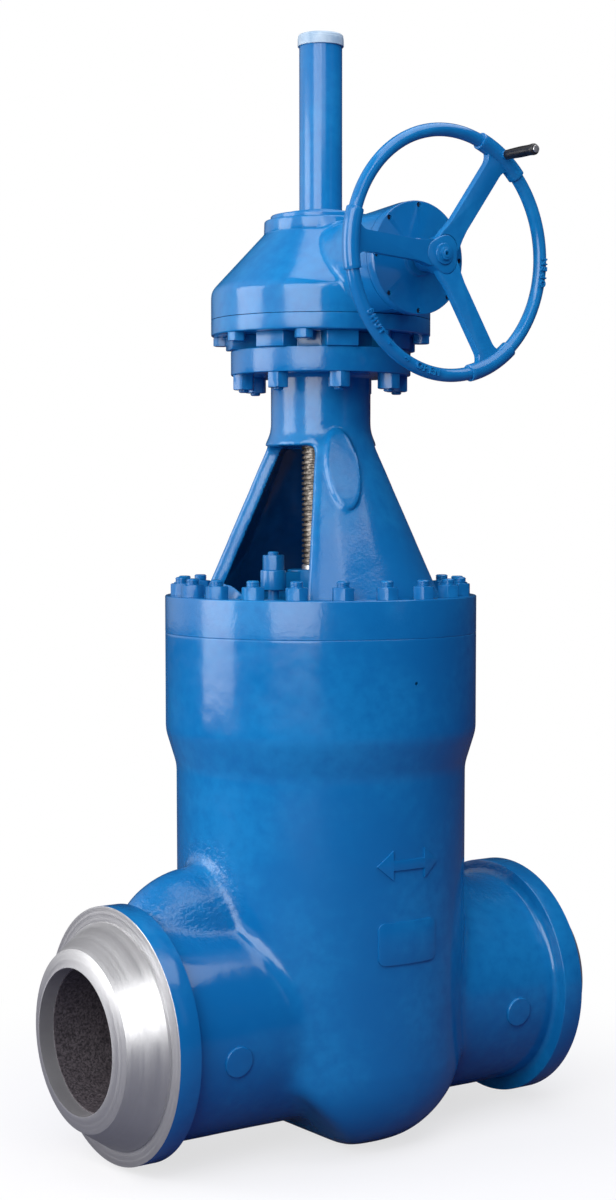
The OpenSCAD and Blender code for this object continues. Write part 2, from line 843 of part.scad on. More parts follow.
module cover_screws() {
    color(GRAPHITE) at_valve() translate([0, -input_body_reach, input_z]) towards_front()
        around(operator_bolt_count, input_screw_circle) {
            translate([0, 0, -input_screw_depth])
                cylinder(r = input_screw_r,
                         h = input_screw_depth + input_cover_thick - input_screw_sink + EPS);
            translate([0, 0, input_cover_thick - input_screw_sink]) difference() {
                cylinder(r = input_screw_head_r, h = input_screw_sink - 3);
                translate([0, 0, 2]) hexagon(input_screw_head_r, input_screw_sink);
            }
        }
}

module top_cover() {
    color(PAINT) at_valve() translate([0, 0, lip_top]) difference() {
        union() {
            cylinder(r = cover_r, h = cover_thick);
            translate([0, 0, -20]) cylinder(r = cone_top_r - housing_wall, h = 20 + EPS);
        }
        translate([0, 0, -20 - CUT]) cylinder(r = nut_r + loose_fit, h = 20 + cover_thick + 2 * CUT);
    }
}

module stem_tube() {
    color(PAINT) at_valve() translate([0, 0, cover_top]) difference() {
        union() {
            cylinder(r = tube_r, h = tube_length);
            cylinder(r = nut_r + 14, h = 8);
        }
        translate([0, 0, -CUT]) cylinder(r = tube_r - tube_wall, h = tube_length + 2 * CUT);
    }
}

module tube_cap() {
    color(IVORY) at_valve() translate([0, 0, tube_top - cap_depth + cap_wall]) difference() {
        cylinder(r = tube_r + cap_wall, h = cap_depth);
        translate([0, 0, -CUT]) cylinder(r = tube_r, h = cap_depth - cap_wall + CUT);
    }
}

module input_shaft() {
    color(STEEL) at_valve() translate([0, -drum_r, input_z]) towards_front() {
        cylinder(r = shaft_r, h = shaft_shoulder - drum_r);
        cylinder(r = shaft_tip_r, h = shaft_front - drum_r);
    }
}

// A stretch of ring in the handwheel's own plane
module ring_arc(centre_r, section_r, middle, half_angle) {
    rotate([0, 0, middle - half_angle])
        rotate_extrude(angle = 2 * half_angle) translate([centre_r, 0]) circle(section_r);
}

// Draws in the handwheel's plane: +X stays, +Y becomes up, +Z faces the user
module in_wheel_plane() {
    at_valve() translate([0, -wheel_plane, input_z]) towards_front() children();
}

module handwheel_rim() {
    color(PAINT) in_wheel_plane() {
        rotate_extrude() translate([rim_r, 0]) circle(rim_tube_r);
        for (i = [0 : spoke_count - 1])
            ring_arc(rim_r, sleeve_r, first_spoke + i * 360 / spoke_count, sleeve_half_angle);
    }
}

// Flat outline of a spoke from the hub to inside the rim, flared at the rim
module spoke_outline() {
    spoke_end = rim_r - rim_tube_r + 6;
    flare_start = spoke_end - spoke_flare;
    translate([0, -spoke_width / 2]) square([spoke_end, spoke_width]);
    for (side = [0, 1]) mirror([0, side])
        difference() {
            translate([flare_start, spoke_width / 2 - EPS])
                square([spoke_flare, spoke_flare + EPS]);
            translate([flare_start, spoke_width / 2 + spoke_flare]) circle(spoke_flare);
        }
}

// Leans a spoke that is drawn along +X back towards the hub
module dished() {
    translate([0, 0, -wheel_dish]) rotate([0, -atan(wheel_dish / rim_r), 0]) children();
}

// Outline of the hub, with a soft corner towards each spoke
module hub_outline() {
    turn = 360 / spoke_count;
    steps = 12;                   // flats around each corner
    round_r = hub_r - 11;
    polygon([
        for (i = [0 : spoke_count - 1]) for (step = [0 : steps])
            let (corner = first_spoke + i * turn, angle = corner + (step / steps - 0.5) * turn) [
                hub_corner * cos(corner) + round_r * cos(angle),
                hub_corner * sin(corner) + round_r * sin(angle)
            ]
    ]);
}

module handwheel_spokes() {
    color(PAINT) in_wheel_plane() difference() {
        for (i = [0 : spoke_count - 1])
            rotate([0, 0, first_spoke + i * 360 / spoke_count]) dished()
                translate([0, 0, -spoke_thick / 2]) linear_extrude(spoke_thick) spoke_outline();
        translate([0, 0, -hub_back]) linear_extrude(hub_length) hub_outline();
        rotate_extrude() translate([rim_r, 0]) circle(sleeve_r);
    }
}

module handwheel_hub() {
    color(PAINT) in_wheel_plane() translate([0, 0, -hub_back]) difference() {
        linear_extrude(hub_length) hub_outline();
        translate([0, 0, -CUT]) cylinder(r = shaft_r, h = hub_length + 2 * CUT);
    }
}

module hub_nut() {
    color(PAINT) in_wheel_plane() translate([0, 0, -hub_sink]) {
        tube(washer_r, shaft_tip_r, washer_height);
        translate([0, 0, washer_height - EPS]) nut(hub_nut_flats, shaft_tip_r, hub_nut_height);
    }
}

// Places a shape at the rim where the grip's pin stands
module at_grip() {
    in_wheel_plane() rotate([0, 0, first_spoke]) translate([rim_r, 0, 0]) children();
}

module crank_pin() {
    color(STEEL) at_grip() difference() {
        union() {
            cylinder(r = pin_collar_r, h = pin_collar_top);
            cylinder(r = pin_r, h = pin_collar_top + grip_length + pin_head);
            translate([0, 0, pin_collar_top + grip_length + seat_gap])
                cylinder(r = pin_r + 3, h = pin_head);
        }
        translate([-rim_r, 0, 0]) rotate_extrude() translate([rim_r, 0]) circle(sleeve_r);
    }
}

module crank_grip() {
    color(BLACK) at_grip() translate([0, 0, pin_collar_top + seat_gap])
        tube(grip_r, pin_r + running_fit, grip_length - seat_gap);
}

body();
seat_ring_left();
seat_ring_right();
gate();
stem();
bonnet();
seal_ring();
bonnet_retainer();
packing();
gland_flange();
gland_studs();
gland_nuts();
yoke();
yoke_studs();
yoke_nuts();
flange_studs();
flange_nuts();
adapter();
stem_nut();
housing_base();
housing_bolts();
gear_housing();
input_housing();
input_cover();
cover_screws();
top_cover();
stem_tube();
tube_cap();
input_shaft();
handwheel_rim();
handwheel_spokes();
handwheel_hub();
hub_nut();
crank_pin();
crank_grip();
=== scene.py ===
"""Looks of a pressure seal gate valve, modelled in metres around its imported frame.

The valve's axis stands upright in the middle of the body, the pipe runs along X and
the handwheel faces -Y. Castings are built from overlapping solids that are remeshed
and smoothed where they meet, machined parts are turned from outlines.
"""

import logging
import math
from collections.abc import Callable, Iterator, Sequence
from contextlib import contextmanager
from dataclasses import dataclass
from enum import Enum

import bmesh
import bpy
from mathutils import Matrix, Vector


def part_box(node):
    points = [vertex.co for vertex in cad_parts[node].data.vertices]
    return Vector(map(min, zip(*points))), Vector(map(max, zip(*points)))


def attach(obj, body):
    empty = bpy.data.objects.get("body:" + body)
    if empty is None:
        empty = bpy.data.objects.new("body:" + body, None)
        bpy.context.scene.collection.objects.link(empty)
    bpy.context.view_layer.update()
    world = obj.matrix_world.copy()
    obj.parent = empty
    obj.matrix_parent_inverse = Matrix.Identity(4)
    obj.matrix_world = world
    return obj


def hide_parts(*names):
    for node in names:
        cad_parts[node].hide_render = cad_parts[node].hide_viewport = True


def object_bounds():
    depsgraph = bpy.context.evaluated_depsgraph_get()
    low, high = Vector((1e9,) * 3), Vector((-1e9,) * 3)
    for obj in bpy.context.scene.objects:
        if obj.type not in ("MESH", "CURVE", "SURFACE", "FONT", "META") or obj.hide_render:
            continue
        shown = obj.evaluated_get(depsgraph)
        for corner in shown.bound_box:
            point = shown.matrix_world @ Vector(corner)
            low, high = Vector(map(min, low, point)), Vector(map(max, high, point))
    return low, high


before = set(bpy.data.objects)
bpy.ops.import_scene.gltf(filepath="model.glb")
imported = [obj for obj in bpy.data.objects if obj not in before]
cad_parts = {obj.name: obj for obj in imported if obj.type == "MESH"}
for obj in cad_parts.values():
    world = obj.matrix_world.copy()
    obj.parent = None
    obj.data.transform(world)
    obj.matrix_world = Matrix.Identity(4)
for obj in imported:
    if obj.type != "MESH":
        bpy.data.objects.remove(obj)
CAD_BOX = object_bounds()
LOG = logging.getLogger("valve")

Corner = tuple[float, ...]
Outline = list[tuple[float, float]]
Distance = Callable[[Vector], float]
Test = Callable[[Vector, Vector], bool]

AXIS_X = (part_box("body")[0].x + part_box("body")[1].x) / 2
HALF_RUN = AXIS_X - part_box("body")[0].x
JOINT_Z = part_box("body")[1].z
RING_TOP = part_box("yoke_nuts")[0].z
YOKE_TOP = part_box("yoke")[1].z
DRUM_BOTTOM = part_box("housing_base")[0].z
WHEEL_HEIGHT = (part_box("input_cover")[0].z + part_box("input_cover")[1].z) / 2
WELD_GAP = 1e-5
FACETS = 96


# ------------------------------------------------------------------ hand tools

class Way(Enum):
    """Direction along which a turned piece grows, as a unit vector."""

    UP = (0.0, 0.0, 1.0)
    RIGHT = (1.0, 0.0, 0.0)
    LEFT = (-1.0, 0.0, 0.0)
    FRONT = (0.0, -1.0, 0.0)


class Blend(Enum):
    """How a tool solid is combined with a piece."""

    ADD = "UNION"
    CUT = "DIFFERENCE"
    KEEP = "INTERSECT"


def deselect_all() -> None:
    """Leave edit mode and clear the selection."""
    if bpy.context.object and bpy.context.object.mode != "OBJECT":
        bpy.ops.object.mode_set(mode="OBJECT")
    bpy.ops.object.select_all(action="DESELECT")


def take(*pieces: bpy.types.Object) -> bpy.types.Object:
    """Select pieces and make the first one active.

    Args:
        pieces: The objects to select.

    Returns:
        The active object.
    """
    deselect_all()
    for piece in pieces:
        piece.select_set(True)
    bpy.context.view_layer.objects.active = pieces[0]
    return pieces[0]


@contextmanager
def editing(piece: bpy.types.Object, domain: str = "VERT") -> Iterator[None]:
    """Open a piece in edit mode with nothing selected, and close it again.

    Args:
        piece: The mesh object to edit.
        domain: Select mode: VERT, EDGE or FACE.

    Yields:
        Nothing, while the piece is open in edit mode.
    """
    take(piece)
    bpy.ops.object.mode_set(mode="EDIT")
    bpy.ops.mesh.select_mode(type=domain)
    bpy.ops.mesh.select_all(action="DESELECT")
    yield
    bpy.ops.object.mode_set(mode="OBJECT")


def pick_faces(piece: bpy.types.Object, test: Test) -> None:
    """Select the faces whose centre and normal pass a test, in edit mode.

    Args:
        piece: The object in edit mode.
        test: Takes a face's centre and normal and says whether to pick it.
    """
    mesh = bmesh.from_edit_mesh(piece.data)
    for face in mesh.faces:
        face.select_set(test(face.calc_center_median(), face.normal))
    bmesh.update_edit_mesh(piece.data)


def settle(piece: bpy.types.Object) -> bpy.types.Object:
    """Move an object's place, turn and size into its mesh and return it.

    Args:
        piece: The object to work on.

    Returns:
        The same object.
    """
    take(piece)
    bpy.ops.object.transform_apply(location=True, rotation=True, scale=True)
    return piece


def heal() -> None:
    """Merge doubles and turn all faces outwards, in edit mode."""
    bpy.ops.mesh.select_all(action="SELECT")
    bpy.ops.mesh.remove_doubles(threshold=WELD_GAP)
    bpy.ops.mesh.normals_make_consistent(inside=False)


def modify(piece: bpy.types.Object, kind: str, **settings: object) -> bpy.types.Object:
    """Add a modifier, set it up and apply it.

    Args:
        piece: The object to change.
        kind: Modifier type.
        settings: Values for the modifier's properties.

    Returns:
        The same object.
    """
    take(piece)
    bpy.ops.object.modifier_add(type=kind)
    modifier = piece.modifiers[-1]
    for key, value in settings.items():
        setattr(modifier, key, value)
    bpy.ops.object.modifier_apply(modifier=modifier.name)
    return piece


def combine(piece: bpy.types.Object, tool: bpy.types.Object, blend: Blend) -> bpy.types.Object:
    """Add, cut or keep a tool's volume and throw the tool away.

    Args:
        piece: The object that stays.
        tool: The object that is used up.
        blend: What happens with the tool's volume.

    Returns:
        The piece.
    """
    modify(piece, "BOOLEAN", object=tool, operation=blend.value, solver="EXACT")
    bpy.data.objects.remove(tool)
    return piece


def join(pieces: Sequence[bpy.types.Object]) -> bpy.types.Object:
    """Join several objects into the first one and return it.

    Args:
        pieces: The objects, of which the first one stays.

    Returns:
        The first object.
    """
    piece = take(*pieces)
    if len(pieces) > 1:
        bpy.ops.object.join()
    return piece


def copy_of(piece: bpy.types.Object) -> bpy.types.Object:
    """Duplicate an object with its own mesh and return the copy.

    Args:
        piece: The object to copy.

    Returns:
        The copy.
    """
    take(piece)
    bpy.ops.object.duplicate(linked=False)
    return bpy.context.object


def turn(piece: bpy.types.Object, angle: float, way: str = "Z",
         centre: Sequence[float] = (AXIS_X, 0, 0)) -> bpy.types.Object:
    """Turn a piece counterclockwise about an axis through a centre.

    Args:
        piece: The object to turn.
        angle: Angle in radians.
        way: Axis letter.
        centre: Point on the axis.

    Returns:
        The same object with its turn applied.
    """
    take(piece)
    bpy.ops.transform.rotate(value=-angle, orient_axis=way, center_override=centre)
    return settle(piece)


def shift(piece: bpy.types.Object, step: Sequence[float]) -> bpy.types.Object:
    """Move a piece by a step, apply the move and return it.

    Args:
        piece: The object to work on.
        step: Distances along the three axes.

    Returns:
        The same object.
    """
    take(piece)
    bpy.ops.transform.translate(value=step)
    return settle(piece)


def circle_of(piece: bpy.types.Object, count: int, first: float = 0.0, way: str = "Z",
              centre: Sequence[float] = (AXIS_X, 0, 0)) -> bpy.types.Object:
    """Repeat a piece around an axis and join the copies.

    Args:
        piece: The model piece, used up as the first one.
        count: Number of pieces around.
        first: Angle of the first one.
        way: Axis letter.
        centre: Point on the axis.

    Returns:
        One object with all copies.
    """
    turn(piece, first, way, centre)
    copies = [turn(copy_of(piece), step * math.tau / count, way, centre)
              for step in range(1, count)]
    return join([piece, *copies])


def soften(corners: Sequence[Corner], steps: int = 5) -> Outline:
    """Replace corners that carry a radius by arcs tangent to both sides.

    Args:
        corners: Points of an open outline, with an optional third value, the radius.
        steps: Number of chords on each arc.

    Returns:
        Points of the outline.
    """
    points: Outline = []
    for index, corner in enumerate(corners):
        here = Vector(corner[:2])
        if len(corner) < 3 or index in (0, len(corners) - 1):
            points.append((here.x, here.y))
            continue
        back = (Vector(corners[index - 1][:2]) - here).normalized()
        ahead = (Vector(corners[index + 1][:2]) - here).normalized()
        half = back.angle(ahead) / 2
        centre = here + (back + ahead).normalized() * corner[2] / math.sin(half)
        reach = corner[2] / math.tan(half)
        start = here + back * reach - centre
        end = here + ahead * reach - centre
        sweep = start.angle_signed(end)
        for step in range(steps + 1):
            angle = math.atan2(start.y, start.x) - sweep * step / steps
            points.append((centre.x + corner[2] * math.cos(angle),
                           centre.y + corner[2] * math.sin(angle)))
    return points


def sink_fillet(wall: float, face: float, radius: float, sink: float = 0.003) -> Outline:
    """Give a fillet from a round wall up to a face, begun slightly inside the wall.

    Args:
        wall: Radius of the wall that the fillet leaves.
        face: Height of the face that it runs into.
        radius: Fillet radius.
        sink: How far its foot lies inside the wall.

    Returns:
        Points from the wall to the face.
    """
    centre = (wall + radius - sink, face - radius)
    angles = [math.pi - math.pi / 2 * step / 8 for step in range(9)]
    return [(centre[0] + radius * math.cos(a), centre[1] + radius * math.sin(a)) for a in angles]


def draw(spots: Sequence[Vector]) -> bpy.types.Object:
    """Draw a line of vertices by extruding one from the next.

    Args:
        spots: Places of the vertices.

    Returns:
        The new object, left in edit mode with its last vertex selected.
    """
    deselect_all()
    bpy.ops.mesh.primitive_plane_add(size=0.001)
    piece = bpy.context.object
    bpy.ops.object.mode_set(mode="EDIT")
    bpy.ops.mesh.select_mode(type="VERT")
    bpy.ops.mesh.select_all(action="SELECT")
    bpy.ops.mesh.merge(type="CENTER")
    bpy.ops.transform.translate(value=spots[0])
    for here, there in zip(spots, spots[1:]):
        bpy.ops.mesh.extrude_vertices_move(TRANSFORM_OT_translate={"value": there - here})
    return piece


def turned(outline: Outline, way: Way = Way.UP, foot: Sequence[float] = (AXIS_X, 0, 0),
           steps: int = FACETS) -> bpy.types.Object:
    """Turn an outline of (radius, height) points about an axis.

    Args:
        outline: From axis to axis for a solid, or back to its start for a ring.
        way: Direction of the height.
        foot: Point on the axis where the height is zero.
        steps: Number of facets around.

    Returns:
        The closed turned piece.
    """
    along = Vector(way.value)
    side = Vector((0, 0, 1)) if along.x else Vector((1, 0, 0))
    piece = draw([Vector(foot) + side * radius + along * height for radius, height in outline])
    bpy.ops.mesh.select_all(action="SELECT")
    bpy.ops.mesh.spin(steps=steps, angle=math.tau, center=foot, axis=along)
    heal()
    bpy.ops.object.mode_set(mode="OBJECT")
    return piece


def slab(outline: Sequence[Sequence[float]], thickness: float, way: Way,
         foot: Sequence[float]) -> bpy.types.Object:
    """Extrude a flat closed outline into a plate.

    Args:
        outline: Points (across, up) of the outline, where up is Z for a front plate.
        thickness: Length of the extrusion.
        way: Direction of the extrusion.
        foot: Place of the outline's origin.

    Returns:
        The plate.
    """
    along = Vector(way.value)
    across = Vector((0, 1, 0)) if along.x else Vector((1, 0, 0))
    rise = Vector((0, 1, 0)) if along.z else Vector((0, 0, 1))
    piece = draw([Vector(foot) + across * u + rise * v for u, v in outline])
    bpy.ops.mesh.select_all(action="SELECT")
    bpy.ops.mesh.edge_face_add()
    bpy.ops.mesh.extrude_region_move(TRANSFORM_OT_translate={"value": along * thickness})
    heal()
    bpy.ops.object.mode_set(mode="OBJECT")
    return piece


def block(low: Sequence[float], high: Sequence[float]) -> bpy.types.Object:
    """Add a box between two corners and return it.

    Args:
        low: Corner with the smallest coordinates.
        high: Corner with the largest coordinates.

    Returns:
        The box.
    """
    deselect_all()
    middle = [(a + b) / 2 for a, b in zip(low, high)]
    bpy.ops.mesh.primitive_cube_add(size=1, location=middle,
                                    scale=[b - a for a, b in zip(low, high)])
    return settle(bpy.context.object)


def bevel(piece: bpy.types.Object, width: float, segments: int = 2,
          angle: float = 35) -> bpy.types.Object:
    """Round the edges that are sharper than an angle in degrees, and return the piece."""
    return modify(piece, "BEVEL", width=width, segments=segments, limit_method="ANGLE",
                  angle_limit=math.radians(angle), harden_normals=False)


def slice_off(piece: bpy.types.Object, spot: Sequence[float],
              normal: Sequence[float]) -> bpy.types.Object:
    """Cut away what lies beyond a plane and close the cut.

    Args:
        piece: The piece to cut.
        spot: Point on the plane.
        normal: Direction of the side that is taken away.

    Returns:
        The same piece.
    """
    with editing(piece):
        bpy.ops.mesh.select_all(action="SELECT")
        bpy.ops.mesh.bisect(plane_co=spot, plane_no=normal, use_fill=True, clear_outer=True)
        heal()
    return piece


def corner_weight(spot: Vector, surfaces: Sequence[Distance], reach: float) -> float:
    """Say how near a point is to a corner between two of several surfaces.

    Args:
        spot: The point.
        surfaces: Functions that give the distance to each surface.
        reach: Distance at which the corner no longer counts.

    Returns:
        1 in the corner, falling smoothly to 0 at the reach.
    """
    second = sorted(abs(surface(spot)) for surface in surfaces)[1]
    nearness = max(0.0, 1.0 - second / reach)
    return nearness * nearness * (3 - 2 * nearness)


@dataclass(frozen=True)
class Foundry:
    """Turns overlapping solids into one casting with soft inner and outer corners."""

    voxel: float
    reach: float
    passes: int

    def cast(self, solids: Sequence[bpy.types.Object],
             surfaces: Sequence[Distance]) -> bpy.types.Object:
        """Melt solids together.

        Args:
            solids: Closed overlapping pieces, used up.
            surfaces: Distance functions of the surfaces whose corners are softened.

        Returns:
            The casting.
        """
        casting = join(solids)
        pattern = copy_of(casting)
        modify(casting, "REMESH", mode="VOXEL", voxel_size=self.voxel)
        soft = casting.vertex_groups.new(name="corners")
        plain = casting.vertex_groups.new(name="plain")
        for vertex in casting.data.vertices:
            weight = corner_weight(vertex.co, surfaces, self.reach)
            soft.add([vertex.index], weight, "REPLACE")
            plain.add([vertex.index], 1 - weight, "REPLACE")
        modify(casting, "SHRINKWRAP", target=pattern, vertex_group="plain")
        modify(casting, "SMOOTH", factor=0.5, iterations=self.passes, vertex_group="corners")
        modify(casting, "SMOOTH", factor=0.3, iterations=2)
        bpy.data.objects.remove(pattern)
        return casting


# -------------------------------------------------------------------- finishes

class Bench:
    """Lays out the nodes of one material."""

    def __init__(self, name: str) -> None:
        """Start an empty material with an output node.

        Args:
            name: Name of the material.
        """
        self.material = bpy.data.materials.new(name)
        self.material.use_nodes = True
        self.tree = self.material.node_tree
        self.tree.nodes.clear()
        self.output = self.tree.nodes.new("ShaderNodeOutputMaterial")

    def add(self, kind: str, inputs: dict | None = None, result: int | str = 0,
            **settings: object) -> bpy.types.NodeSocket:
        """Add a node and fill its sockets.

        Args:
            kind: Node type after "ShaderNode".
            inputs: Socket name or number to a value, or to a socket to link from.
            result: Output to return.
            settings: Values for the node's properties.

        Returns:
            The chosen output socket.
        """
        node = self.tree.nodes.new("ShaderNode" + kind)
        for key, value in settings.items():
            setattr(node, key, value)
        for key, value in (inputs or {}).items():
            if isinstance(value, bpy.types.NodeSocket):
                self.tree.links.new(value, node.inputs[key])
            else:
                node.inputs[key].default_value = value
        return node.outputs[result]

    def place(self, size: Sequence[float] = (1, 1, 1)) -> bpy.types.NodeSocket:
        """Give object coordinates measured from the valve's axis, with a scale.

        Args:
            size: Scale along the three axes.

        Returns:
            The scaled coordinates.
        """
        spot = self.add("TexCoord", result="Object")
        centred = self.add("VectorMath", {0: spot, 1: (AXIS_X, 0, 0)}, operation="SUBTRACT")
        return self.add("VectorMath", {0: centred, 1: tuple(size)}, operation="MULTIPLY")

    def noise(self, scale: float, detail: float = 3, size: Sequence[float] = (1, 1, 1),
              distortion: float = 0) -> bpy.types.NodeSocket:
        """Give noise values around 0.5 with features of 1/scale metres."""
        return self.add("TexNoise", {"Vector": self.place(size), "Scale": scale,
                                     "Detail": detail, "Distortion": distortion})

    def ramp(self, value: bpy.types.NodeSocket, low: float, high: float,
             from_low: float = 0.3, from_high: float = 0.7) -> bpy.types.NodeSocket:
        """Map a value from one range to another, clamped and smooth.

        Args:
            value: The value to map.
            low: Result at the lower end.
            high: Result at the upper end.
            from_low: Value at the lower end.
            from_high: Value at the upper end.

        Returns:
            The mapped value.
        """
        return self.add("MapRange", {"Value": value, "From Min": from_low,
                                     "From Max": from_high, "To Min": low, "To Max": high},
                        interpolation_type="SMOOTHSTEP")

    def tint(self, factor: bpy.types.NodeSocket, first: Sequence[float],
             second: Sequence[float]) -> bpy.types.NodeSocket:
        """Mix two colours by a factor."""
        return self.add("Mix", {"Factor": factor, 6: (*first, 1), 7: (*second, 1)}, 2,
                        data_type="RGBA")

    def bump(self, layers: Sequence[tuple[object, float, object]]) -> bpy.types.NodeSocket:
        """Stack bump layers of (height, distance in metres, strength) into a normal.

        Args:
            layers: Height, distance and strength of each layer.

        Returns:
            The bent normal.
        """
        normal = None
        for height, distance, strength in layers:
            inputs = {"Height": height, "Distance": distance, "Strength": strength}
            if normal:
                inputs["Normal"] = normal
            normal = self.add("Bump", inputs)
        return normal

    def finish(self, inputs: dict) -> bpy.types.Material:
        """Close the material with one principled shader and return it.

        Args:
            inputs: Socket names of the shader and their values.

        Returns:
            The finished material.
        """
        shader = self.add("BsdfPrincipled", inputs)
        self.tree.links.new(shader, self.output.inputs["Surface"])
        return self.material


@dataclass(frozen=True)
class Enamel:
    """Glossy blue enamel over a casting or a machined part."""

    name: str
    deep: tuple[float, float, float] = (0.004, 0.148, 0.395)
    light: tuple[float, float, float] = (0.008, 0.202, 0.475)
    gloss: tuple[float, float] = (0.12, 0.24)
    ripple: float = 0.0010
    grain: float = 0.0
    hump: bool = False

    def make(self) -> bpy.types.Material:
        """Build the node material.

        Returns:
            The material.
        """
        bench = Bench(self.name)
        shade = bench.ramp(bench.noise(2.3, 4), 0, 1)
        flow = bench.add("Math", {0: bench.noise(31, 2), 1: shade, 2: 0.35},
                         operation="MULTIPLY_ADD")
        colour = bench.tint(bench.ramp(flow, 0, 1, 0.35, 1.0), self.deep, self.light)
        rough = bench.ramp(bench.noise(6, 5), self.gloss[0], self.gloss[1])
        layers = [(bench.noise(5.5, 2), self.ripple * 6, 0.5),
                  (bench.noise(26, 2), self.ripple, 0.5),
                  (bench.noise(520, 1), 0.00006, 0.5)]
        if self.grain:
            layers.append((bench.noise(110, 4), self.grain, 0.6))
        if self.hump:
            layers.append((bench.noise(75, 3, distortion=0.4), 0.006, self.hump_mask(bench)))
        return bench.finish({"Base Color": colour, "Roughness": rough, "IOR": 1.45,
                             "Coat Weight": 0.2, "Coat Roughness": 0.05,
                             "Normal": bench.bump(layers)})

    def hump_mask(self, bench: Bench) -> bpy.types.NodeSocket:
        """Mask the fettled tops of the two shoulders between the neck and the stubs.

        Args:
            bench: The bench that holds the material's nodes.

        Returns:
            A value of 1 on the fettled tops.
        """
        apart = bench.add("VectorMath", {0: bench.place()}, operation="ABSOLUTE")
        spot = bench.add("VectorMath", {0: apart, 1: (0.52, 0.0, 0.36)}, operation="DISTANCE",
                         result="Value")
        return bench.ramp(spot, 0.55, 0.0, 0.14, 0.26)


@dataclass(frozen=True)
class TurnedSteel:
    """Bare steel with fine turning marks about the pipe or the valve axis."""

    name: str
    colour: tuple[float, float, float] = (0.60, 0.60, 0.605)
    marks: float = 900.0
    upright: bool = False
    gloss: tuple[float, float] = (0.32, 0.46)
    metallic: float = 0.8

    def make(self) -> bpy.types.Material:
        """Build the node material.

        Returns:
            The material.
        """
        bench = Bench(self.name)
        flat = (1, 1, 0) if self.upright else (0, 1, 1)
        radius = bench.add("VectorMath", {0: bench.place(flat)}, operation="LENGTH",
                           result="Value")
        line = bench.add("TexNoise", {"W": radius, "Scale": self.marks, "Detail": 2},
                         noise_dimensions="1D")
        broad = bench.add("TexNoise", {"W": radius, "Scale": self.marks / 12, "Detail": 2},
                          noise_dimensions="1D")
        stain = bench.ramp(bench.noise(9, 5), 0, 1)
        dull = tuple(part * 0.86 for part in self.colour)
        colour = bench.tint(bench.add("Math", {0: stain, 1: broad}, operation="MULTIPLY"),
                            self.colour, dull)
        rough = bench.ramp(broad, self.gloss[0], self.gloss[1])
        return bench.finish({"Base Color": colour, "Metallic": self.metallic, "Roughness": rough,
                             "Normal": bench.bump([(line, 0.00012, 0.6),
                                                   (broad, 0.0003, 0.4)])})


@dataclass(frozen=True)
class RoughMetal:
    """Dull metal with grain and patches, bare or oiled."""

    name: str
    first: tuple[float, float, float]
    second: tuple[float, float, float]
    metallic: float = 0.6
    gloss: tuple[float, float] = (0.45, 0.75)
    scale: float = 90.0
    depth: float = 0.0012

    def make(self) -> bpy.types.Material:
        """Build the node material.

        Returns:
            The material.
        """
        bench = Bench(self.name)
        patch = bench.ramp(bench.noise(self.scale, 6), 0, 1)
        colour = bench.tint(patch, self.first, self.second)
        rough = bench.ramp(bench.noise(self.scale / 3, 3), self.gloss[0], self.gloss[1])
        layers = [(bench.noise(self.scale * 1.4, 5), self.depth, 0.8)]
        return bench.finish({"Base Color": colour, "Metallic": self.metallic,
                             "Roughness": rough, "Normal": bench.bump(layers)})


@dataclass(frozen=True)
class Moulded:
    """Moulded plastic with a faint grain and a worn sheen."""

    name: str
    first: tuple[float, float, float]
    second: tuple[float, float, float]
    gloss: tuple[float, float] = (0.25, 0.45)

    def make(self) -> bpy.types.Material:
        """Build the node material.

        Returns:
            The material.
        """
        bench = Bench(self.name)
        colour = bench.tint(bench.ramp(bench.noise(24, 5), 0, 1), self.first, self.second)
        rough = bench.ramp(bench.noise(60, 4), self.gloss[0], self.gloss[1])
        layers = [(bench.noise(18, 2), 0.0008, 0.4), (bench.noise(700, 2), 0.00008, 0.5)]
        return bench.finish({"Base Color": colour, "Roughness": rough,
                             "Normal": bench.bump(layers)})


class Paintshop:
    """Makes each finish once and hands it out."""

    def __init__(self) -> None:
        """Build all materials of the valve."""
        self.cast = Enamel("enamel_on_casting", hump=True).make()
        self.cast_plain = Enamel("enamel_on_housing").make()
        self.yoke = Enamel("enamel_on_yoke", grain=0.0008).make()
        # Darker copy of the enamel for the yoke's inner faces: painted shade that stands in for
        # the shadow inside the cone.
        self.inside = Enamel("enamel_painted_shade_inside", deep=(0.001, 0.020, 0.075),
                             light=(0.002, 0.032, 0.11)).make()
        self.smooth = Enamel("enamel_on_machined", ripple=0.0003).make()
        self.bolts = Enamel("enamel_on_bolts", ripple=0.0001, gloss=(0.2, 0.34),
                            light=(0.012, 0.215, 0.49)).make()
        self.steel = TurnedSteel("turned_weld_end").make()
        self.rod = TurnedSteel("turned_rod", upright=True, gloss=(0.2, 0.35)).make()
        self.gate = TurnedSteel("ground_gate_face", colour=(0.30, 0.28, 0.26), marks=400,
                                gloss=(0.35, 0.55)).make()
        self.bore = RoughMetal("rough_bore", (0.04, 0.035, 0.04), (0.145, 0.125, 0.135),
                               metallic=0.3, scale=150.0).make()
        self.thread = RoughMetal("oiled_thread", (0.07, 0.06, 0.05), (0.26, 0.23, 0.20),
                                 metallic=0.9, gloss=(0.3, 0.5), depth=0.0003).make()
        self.graphite = RoughMetal("graphite_packing", (0.02, 0.02, 0.022),
                                   (0.06, 0.06, 0.065), metallic=0.2).make()
        self.bronze = RoughMetal("bronze_nut", (0.38, 0.22, 0.08), (0.55, 0.36, 0.15),
                                 metallic=1.0, gloss=(0.25, 0.4), depth=0.0001).make()
        self.screw = RoughMetal("dark_screw", (0.012, 0.018, 0.04), (0.03, 0.05, 0.10),
                                metallic=0.3, depth=0.0002).make()
        self.cap = Moulded("ivory_cap", (0.46, 0.58, 0.66), (0.30, 0.44, 0.56)).make()
        self.grip = Moulded("black_grip", (0.004, 0.004, 0.006), (0.012, 0.012, 0.015)).make()


